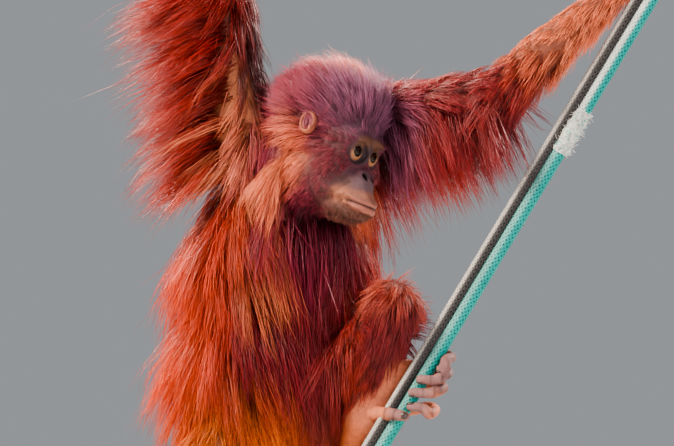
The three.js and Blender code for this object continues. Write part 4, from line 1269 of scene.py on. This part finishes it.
# %% From roots to a piece
CURL, PATCH_SIZE = 1.0, 0.003
USED_UP = ("root", "lie", "end", "side", "wide", "turns", "phase", "sway", "patch", "aside", "high")


def grow(name, roots, finish):
    """One piece of the coat from its roots, as a plain mesh."""
    mesh = bpy.data.meshes.new(name + "_roots")
    mesh.vertices.add(len(roots["root"]))
    for key, values in roots.items():
        kind = "FLOAT_VECTOR" if values.ndim == 2 else "FLOAT"
        if key == "tint":
            kind, values = "FLOAT_COLOR", np.c_[values, np.ones(len(values))]
        set_attribute(mesh, key, kind, values)
    holder = placed(name + "_roots", mesh)
    changed = holder.modifiers.new("grow", "NODES")
    changed.node_group = grow_hair
    wanted = {"Blade": blade, "Curl": CURL, "Patch": PATCH_SIZE, "Finish": finish.material}
    for item in grow_hair.interface.items_tree:
        if item.name in wanted:
            changed[item.identifier] = wanted[item.name]
    holder.update_tag()
    ready = holder.evaluated_get(bpy.context.evaluated_depsgraph_get())
    grown = bpy.data.meshes.new_from_object(ready)
    bpy.data.objects.remove(holder)
    grown.name = name
    for extra in USED_UP:
        if extra in grown.attributes:
            grown.attributes.remove(grown.attributes[extra])
    return placed(name, grown)


# %% [markdown]
# The numbers that matter most are how many hairs there are and how many share a lock. Chest and arms get
# broad, loose locks; the head gets short, fine ones; the inner arm stays thin, so that the skin shows.

# %% Roots for one part
LEAST_RISE, MOST_DIP, HAIR_RISE = 0.22, 0.25, 0.12


def furred(p):
    return (1 - bareness(p)) * thinness(p)


def held_out(ways, normals, least):
    """Ways that leave the skin at no less than a set slope, so that no hair grows into it."""
    return ways + normals * np.maximum(least - (ways * normals).sum(1), 0)[:, None]


def make_roots(name, hang, hairs, lock_size, wide, clump, loose, grows=furred):
    """Roots of a part's hairs. Every hair leans from its own root towards the tip of its lock."""
    mine = face_part == name
    weight = face_area[mine] * grows(face_middle[mine])
    locks = max(int(hairs / lock_size), 1)
    chosen = np.flatnonzero(mine)[rng.choice(mine.sum(), locks, p=weight / weight.sum())]
    across = rng.random((2, locks, 1))
    quad = corners[chosen]
    low, high = mixed(quad[:, 0], quad[:, 1], across[0]), mixed(quad[:, 3], quad[:, 2], across[0])
    middle = mixed(low, high, across[1])
    middle, normal = skin.settle(middle, 1)
    order = np.argsort(skin_map(name, middle)[:, 0])
    middle, normal = middle[order], normal[order]
    _, t, way = along_part(name, middle)
    lie, end, length = hang(middle, normal, t, way)
    length = length * rng.uniform(0.66, 1.2, locks)
    lie = unit(lie + rng.normal(0, 0.11, lie.shape))
    end = unit(end + rng.normal(0, 0.08, end.shape))
    lie = unit(held_out(lie, normal, LEAST_RISE))
    end = unit(held_out(end, normal, -MOST_DIP))
    tip = middle + (lie + end) * length[:, None] / 2

    # From here on each row is one hair, and each says which lock a hair belongs to.
    each = np.repeat(np.arange(locks), lock_size)
    total = len(each)
    spacing = math.sqrt(weight.sum() / locks)
    turn, far = rng.random(total) * 2 * math.pi, np.sqrt(rng.random(total)) * spacing * 0.9
    first = unit(np.cross(normal, vec(0.3, 0.2, 0.93)))
    second = np.cross(normal, first)
    offset = (np.cos(turn) * far)[:, None] * first[each] + (np.sin(turn) * far)[:, None] * second[each]
    root, grown_normal = skin.settle(middle[each] + offset, 1)
    free = rng.random(total) < loose
    gather = np.where(free, rng.uniform(0.7, 1.5, total), rng.uniform(clump * 0.4, clump * 1.7, total))
    share = np.where(free, rng.uniform(0.45, 1.15, total), 1.06 - 0.5 * rng.random(total) ** 1.6)
    reach = length[each] * share
    target = root + (tip[each] - middle[each]) * share[:, None]
    target += (middle[each] - root) * (1 - gather)[:, None]
    target += rng.normal(0, 1, root.shape) * (length[each] * np.where(free, 0.11, 0.03))[:, None]
    out = lie[each] + rng.normal(0, 1, root.shape) * np.where(free, 0.22, 0.09)[:, None]
    start = unit(held_out(out, grown_normal, HAIR_RISE)) * reach[:, None]
    finish_way = 2 * (target - root) - start
    side = unit(np.cross(start, grown_normal) + 0.55 * unit(rng.normal(0, 1, root.shape)) * reach[:, None])
    tone = coat_colour_and_painted_light(middle)[each] * rng.uniform(0.84, 1.18, (locks, 1))[each]
    tone = tone * rng.uniform(0.72, 1.3, (total, 1)) * (1 + rng.normal(0, 0.05, (total, 3)))
    return {
        "root": (root - 0.8 * grown_normal) * MM, "lie": start * MM, "end": finish_way * MM, "side": side,
        "wide": wide * rng.uniform(0.7, 1.35, total) * MM, "turns": rng.uniform(4, 9, total),
        "phase": rng.uniform(0, 6.28, total), "sway": reach * rng.uniform(0.006, 0.03, total) * MM,
        "patch": skin_map(name, root), "tint": np.clip(tone, 0, 1),
    }


def skin_map(name, p):
    """A map of the body's own surface: round a part from side to side, along it from low to high."""
    _, t, way = along_part(name, p)
    points, _ = PARTS[name]
    centre = np.array([np.interp(t, np.linspace(0, 1, len(points)), points[:, i]) for i in range(3)]).T
    q = p - centre
    first = unit(np.cross(way, vec(0.12, 0.98, 0.15)))
    turn = np.arctan2((q * np.cross(way, first)).sum(1), (q * first).sum(1)) / (2 * math.pi) + 0.5
    over = np.clip((q * way).sum(1) / 120 + 0.5, 0, 1)
    return np.c_[0.004 + 0.988 * turn, 0.004 + 0.988 * (0.12 * over + 0.88 * t), np.zeros(len(p))]


# %% [markdown]
# A hair is darker at its root, in the shade of its neighbours, and lights up towards its tip. The counts
# below keep every piece under 200,000 triangles and the whole coat near 1.5 million.

# %% Grow the stubble
hair_finish = Finish("hair", Roughness=0.42)
tint = hair_finish.read("tint")
t = hair_finish.read("along", "Fac")
hair_finish.set("Base Color", tint * (0.55 + 0.75 * t.between(0.0, 0.9)))
SHARE = 1.0
# Each row: its rule, hairs, hairs in a lock, width in mm, how tight a lock is, stray hairs, and pieces.
COAT = {
    "head": (hang_head, 17400, 6, 0.5, 0.85, 0.2, 2),
    "neck": (hang_neck, 6200, 18, 0.75, 0.45, 0.15, 1),
    "trunk": (hang_trunk, 26800, 20, 0.8, 0.42, 0.15, 3),
    "upper_arm_right": (hang_upper_arm_right, 8900, 20, 0.78, 0.42, 0.16, 1),
    "upper_arm_left": (hang_upper_arm_left, 9200, 20, 0.76, 0.42, 0.16, 1),
    "forearm_right": (hang_forearm_right, 4600, 18, 0.75, 0.42, 0.16, 1),
    "forearm_left": (hang_forearm_left, 5400, 14, 0.7, 0.45, 0.16, 1),
    "thigh_right": (hang_thigh, 3400, 18, 0.85, 0.45, 0.15, 1),
    "thigh_left": (hang_thigh, 4600, 16, 0.8, 0.5, 0.15, 1),
    "shin_right": (hang_shin, 2600, 12, 0.75, 0.55, 0.15, 1),
    "shin_left": (hang_shin, 4800, 10, 0.62, 0.6, 0.15, 1),
}
stubble = make_roots("head", hang_stubble, int(2600 * SHARE), 2, 0.3, 1.0, 0.6, stubble_share)
count = len(stubble["root"])
stubble["tint"] = np.tile(colour(132, 78, 62), (count, 1)) * rng.uniform(0.6, 1.2, (count, 1))
piece = grow("coat_stubble", stubble, hair_finish)
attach(piece, "root")
print("stubble", count, "hairs")

# %% Grow the coat
coat_triangles = 0
for part, (hang, hairs, lock_size, wide, clump, loose, pieces) in COAT.items():
    roots = make_roots(part, hang, int(hairs * SHARE), lock_size, wide, clump, loose)
    total = len(roots["root"])
    for n in range(pieces):
        mine = slice(n * total // pieces, (n + 1) * total // pieces)
        name = f"coat_{part}_{n + 1}"
        piece = grow(name, {key: values[mine] for key, values in roots.items()}, hair_finish)
        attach(piece, "root")
        triangles = len(piece.data.loops) - 2 * len(piece.data.polygons)
        coat_triangles += triangles
        print(name, mine.stop - mine.start, "hairs", triangles, "triangles")
print("coat", coat_triangles, "triangles")


# %% [markdown]
# The ropes are braided cord: pairs of yarns that cross in a diamond. A real braid could be swept yarn by
# yarn, but at this size a tube whose surface rises over each crossing looks the same, and bump adds the
# grain. Worn yarns are paler; the paler side of each rope, part of its colour, is partly such wear and
# partly painted light, and the hollows between the yarns are darkened as painted shade.

# %% A tube with a relief
def braid(u, v, yarns, pitch):
    """How far a braid's surface stands out at a turn u and a distance v along: two crossed sets of yarns."""
    one, two = np.sin(math.pi * (yarns * u + v / pitch)), np.sin(math.pi * (yarns * u - v / pitch))
    return 1 - (one * two) ** 2


def tube(name, start, stop, radius, around, step, relief=None):
    """A closed tube between two places, with a map round it and along it in metres."""
    way = unit(stop - start)
    length = np.linalg.norm(stop - start)
    first = unit(np.cross(way, vec(0, 1, 0.01)))
    second = np.cross(way, first)
    rows = max(int(length / step), 1) + 1
    turn = np.arange(around) * 2 * math.pi / around
    edge = 1.2  # how far the ends are rounded
    gone = np.concatenate([[0], np.linspace(edge, length - edge, rows), [length]])
    radii = np.full(len(gone), float(radius))
    radii[[0, -1]] -= edge
    wobble = np.zeros((len(gone), around))
    if relief:
        wobble = relief(np.arange(around)[None] / around, gone[:, None])
    circle = np.cos(turn)[:, None] * first + np.sin(turn)[:, None] * second
    points = [start + g * way + circle * (r + w[:, None]) for g, r, w in zip(gone, radii, wobble)]
    count = len(gone)
    points = np.concatenate([*points, [start, stop]])
    quads, maps = [], []
    for row in range(count - 1):
        for k in range(around):
            n = (k + 1) % around
            here, on = row * around, (row + 1) * around
            quads.append((here + k, here + n, on + n, on + k))
            u, w = k / around, (k + 1) / around
            a, b = gone[row] * MM, gone[row + 1] * MM
            maps += [(u, a), (w, a), (w, b), (u, b)]
    low, top = count * around, count * around + 1
    for k in range(around):
        n = (k + 1) % around
        quads += [(low, n, k), (top, (count - 1) * around + k, (count - 1) * around + n)]
        maps += [(k / around, 0)] * 3 + [(k / around, length * MM)] * 3
    made = smooth_object(name, points, quads)
    layer = made.data.uv_layers.new(name="wound")
    layer.data.foreach_set("uv", np.array(maps, np.float32).ravel())
    return made


# %% The braid's finish
def rope_finish(name, base, dots, wear_and_painted_light, pale_turn, pale_half, yarns, pitch, paler_from=0.0):
    """A braid of crossed yarns with painted shade in its hollows, and a paler side centred on one turn of
    the map, stronger higher up, that is partly wear and partly painted light.
    """
    finish = Finish(name, Roughness=0.8)
    wound = finish.node("ShaderNodeUVMap", {"uv_map": "wound"})
    u = finish.node("ShaderNodeSeparateXYZ", values={"Vector": wound})
    v = Value(finish, u.socket.node.outputs["Y"])
    one = (u * (yarns * math.pi) + v * (math.pi / pitch)).sine()
    two = (u * (yarns * math.pi) - v * (math.pi / pitch)).sine()
    weave = one * two
    grain = finish.noise(700.0, 4.0, finish.place())
    wear = finish.noise(60.0, 3.0, finish.place())
    tone = finish.mix(weave.between(0.2, 0.75) * 0.8, base, dots)
    off = (u - pale_turn + 0.5).sum_with("FRACT") - 0.5
    # The paler side: partly wear, partly painted light, stronger higher up.
    side = 1 - off.sum_with("ABSOLUTE").between(pale_half - 0.05, pale_half + 0.05)
    high = 0.25 + 0.75 * v.between(paler_from - 0.03, paler_from + 0.03)
    tone = finish.mix(side * high * (0.6 + 0.4 * grain.between(0.35, 0.6)), tone, wear_and_painted_light)
    # Painted shade in the hollows between the yarns.
    gaps = (weave * weave).between(0.35, 0.95)
    finish.set("Base Color", tone * (0.7 + 0.6 * wear) * (0.85 + 0.3 * grain) * (1 - 0.6 * gaps))
    finish.bump((1 - weave * weave) * 0.8 + grain * 0.5, 0.0009, 0.9)
    return finish


# %% The three ropes
TEAL_ASIDE, DARK_ASIDE = DARK_R + GAP / 2, -TEAL_R - GAP / 2
RELIEF = 0.5


def rope_ends(aside):
    return [beside(rope_at(height), 0, aside, 0) for height in (ROPE_LOW, ROPE_HIGH)]


rope_looks = {
    "perch_rope_teal": (*rope_ends(TEAL_ASIDE), TEAL_R),
    "perch_rope_dark": (*rope_ends(DARK_ASIDE), DARK_R),
    "perch_rope_top": (TOP_ROPE - 118 * top_rope_way, TOP_ROPE + 112 * top_rope_way, TEAL_R),
}
TEAL_BRAID, DARK_BRAID = (10, 6.5), (8, 6.0)
# Each rope's third colour is its paler side: wear and painted light.
teal_finish = rope_finish("rope_teal", colour(28, 156, 146), colour(14, 108, 104), colour(208, 206, 198),
                          0.1, 0.13, TEAL_BRAID[0], TEAL_BRAID[1] * MM, 0.8)
dark_finish = rope_finish("rope_dark", colour(72, 66, 64), colour(40, 36, 36), colour(200, 192, 182),
                          0.1, 0.09, DARK_BRAID[0], DARK_BRAID[1] * MM)
for name, (start, stop, radius) in rope_looks.items():
    dark = name.endswith("dark")
    yarns, pitch = DARK_BRAID if dark else TEAL_BRAID
    piece = tube(name + "_braid", start, stop, radius - 0.35, 48, 2.0,
                 lambda u, v: RELIEF * braid(u, v, yarns, pitch))
    dress(piece, dark_finish if dark else teal_finish)
    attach(piece, "root")
    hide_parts(name)
print(len(rope_looks), "ropes")

# %% [markdown]
# A pale wrap sits on the teal rope where it has been mended. It has worn to a tangle: its surface is a sum
# of waves that run round and along, and loose fibres grow from it through the same graph as the hair.

# %% The worn wrap
WRAP_LONG = 60
wrap_at = beside(rope_at(751), 0, TEAL_ASIDE, 0)


def frayed(u, v):
    """A tangle of loosened yarns, thickest at the middle."""
    twist = sum(np.sin(2 * math.pi * (n * u + v / p) + q) for n, p, q in
                ((2, 23, 0), (-3, 17, 1), (5, 11, 2), (-6, 13, 4), (9, 31, 3)))
    return 0.42 * twist + 1.5 * np.sin(math.pi * v / WRAP_LONG)


wrap_half = WRAP_LONG / 2 * rope_up
wrap = tube("worn_wrap", wrap_at - wrap_half, wrap_at + wrap_half, TEAL_R + 1.0, 48, 1.2, frayed)
wrap_finish = Finish("tape", Roughness=0.85)
fibre = wrap_finish.noise(420.0, 4.0, wrap_finish.place(), Distortion=2.0)
stain = wrap_finish.noise(160.0, 3.0, wrap_finish.place())
tone = wrap_finish.mix(fibre.between(0.3, 0.6), colour(120, 122, 116), colour(228, 226, 216))
wrap_finish.set("Base Color", wrap_finish.mix(stain.between(0.58, 0.64) * 0.8, tone, colour(60, 170, 158)))
wrap_finish.bump(fibre, 0.0009, 1.0)
dress(wrap, wrap_finish)
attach(wrap, "root")
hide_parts("perch_tape")

# %% Its loose fibres
FIBRES = 500
fibre_turn = rng.random(FIBRES) * 2 * math.pi
fibre_out = np.cos(fibre_turn)[:, None] * rope_right + np.sin(fibre_turn)[:, None] * rope_front
fibre_root = wrap_at + rng.uniform(-29, 29, (FIBRES, 1)) * rope_up + TEAL_R * fibre_out
fibre_lie = unit(0.5 * fibre_out + rng.normal(0, 0.9, (FIBRES, 3)) + 0.5 * rope_up)
fibre_lie = held_out(fibre_lie, fibre_out, 0.25)
fibre_long = rng.uniform(4, 13, (FIBRES, 1))
fibres = grow("worn_fibres", {
    "root": fibre_root * MM, "lie": fibre_lie * fibre_long * MM,
    "end": unit(fibre_lie + rng.normal(0, 0.6, (FIBRES, 3))) * fibre_long * MM,
    "side": unit(np.cross(fibre_lie, fibre_out)), "wide": rng.uniform(0.4, 0.9, FIBRES) * MM,
    "turns": rng.uniform(3, 8, FIBRES), "phase": rng.uniform(0, 6.28, FIBRES),
    "sway": np.full(FIBRES, 0.6 * MM), "patch": rng.random((FIBRES, 3)) * vec(0.99, 0.99, 0),
    "tint": np.tile(colour(222, 220, 210), (FIBRES, 1)),
}, hair_finish)
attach(fibres, "root")

# %% [markdown]
# The stand stays plain, so that it doesn't compete with the animal: a satin black plate and brushed rods.

# %% The stand
base_finish = Finish("stand_base", Base_Color=colour(44, 44, 46), Roughness=0.42, Metallic=0.3)
metal_finish = Finish("stand_metal", Base_Color=colour(178, 178, 176), Roughness=0.32, Metallic=1.0)
ROD_R, BASE_HEIGHT, SOCKET_R = 8, 20, 20
socket_top = rope_at(ROPE_LOW) - GAP * rope_up
socket_low = socket_top - 22 * rope_up
rod_x = mixed(socket_low, socket_top, 0.4)[0]
metal_tubes = {
    "stand_rod_body": (vec(-18, 24, BASE_HEIGHT + GAP), vec(-18, 24, 350), ROD_R),
    "stand_rod_ropes": (vec(rod_x, -110, BASE_HEIGHT + GAP), vec(rod_x, -110, socket_low[2] + 12), ROD_R),
    "stand_socket": (socket_low, socket_top, SOCKET_R),
}
for name, (start, stop, radius) in metal_tubes.items():
    piece = tube(name + "_round", start, stop, radius, 48, 20.0)
    dress(piece, metal_finish)
    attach(piece, "root")
    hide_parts(name)
base = bpy.data.objects["stand_base"]
dress(base, base_finish)
print(len(metal_tubes), "metal pieces and the base")

# %% [markdown]
# A wide, pale floor and four soft lights. The strongest stands high, in front and on the animal's right,
# and two behind it light the edge of the coat. A dim world fills the shadows.

# %% Floor and light
FLOOR_R, FLOOR_SIDES = 6.0, 96
turns = np.arange(FLOOR_SIDES) * 2 * math.pi / FLOOR_SIDES
floor_mesh = bpy.data.meshes.new("floor")
floor_mesh.from_pydata([(FLOOR_R * math.cos(a), FLOOR_R * math.sin(a), 0) for a in turns], [],
                       [list(range(FLOOR_SIDES))])
floor = placed("floor", floor_mesh)
floor_mesh.materials.append(Finish("floor", Base_Color=colour(206, 206, 204), Roughness=0.9).material)
LIGHTS_AIM = (0.05, 0.0, 0.65)


def aimed(at, aim):
    """The turn that points a light's -Z at a place."""
    return (Vector(aim) - Vector(at)).to_track_quat("-Z", "Y").to_euler()


for name, at, size, watts, tone in (
    ("sun_side", (-1.7, -1.0, 2.3), 0.6, 135, (1.0, 0.9, 0.78)),
    ("front_fill", (1.3, -2.8, 1.1), 1.8, 56, (0.97, 0.95, 1.0)),
    ("back_left", (-1.3, 1.3, 1.9), 0.8, 100, (1.0, 0.86, 0.7)),
    ("back_right", (1.6, 1.2, 1.7), 0.8, 80, (1.0, 0.92, 0.86)),
):
    data = bpy.data.lights.new(name, "AREA")
    data.energy, data.size, data.color = watts, size, tone
    light = placed(name, data)
    light.location = at
    light.rotation_euler = aimed(at, LIGHTS_AIM)
world = bpy.data.worlds.new("studio")
world.use_nodes = True
backdrop = world.node_tree.nodes["Background"].inputs
backdrop["Color"].default_value = (0.75, 0.78, 0.82, 1)
backdrop["Strength"].default_value = 0.38
bpy.context.scene.world = world
bpy.context.scene.view_settings.look = "AgX - Medium High Contrast"
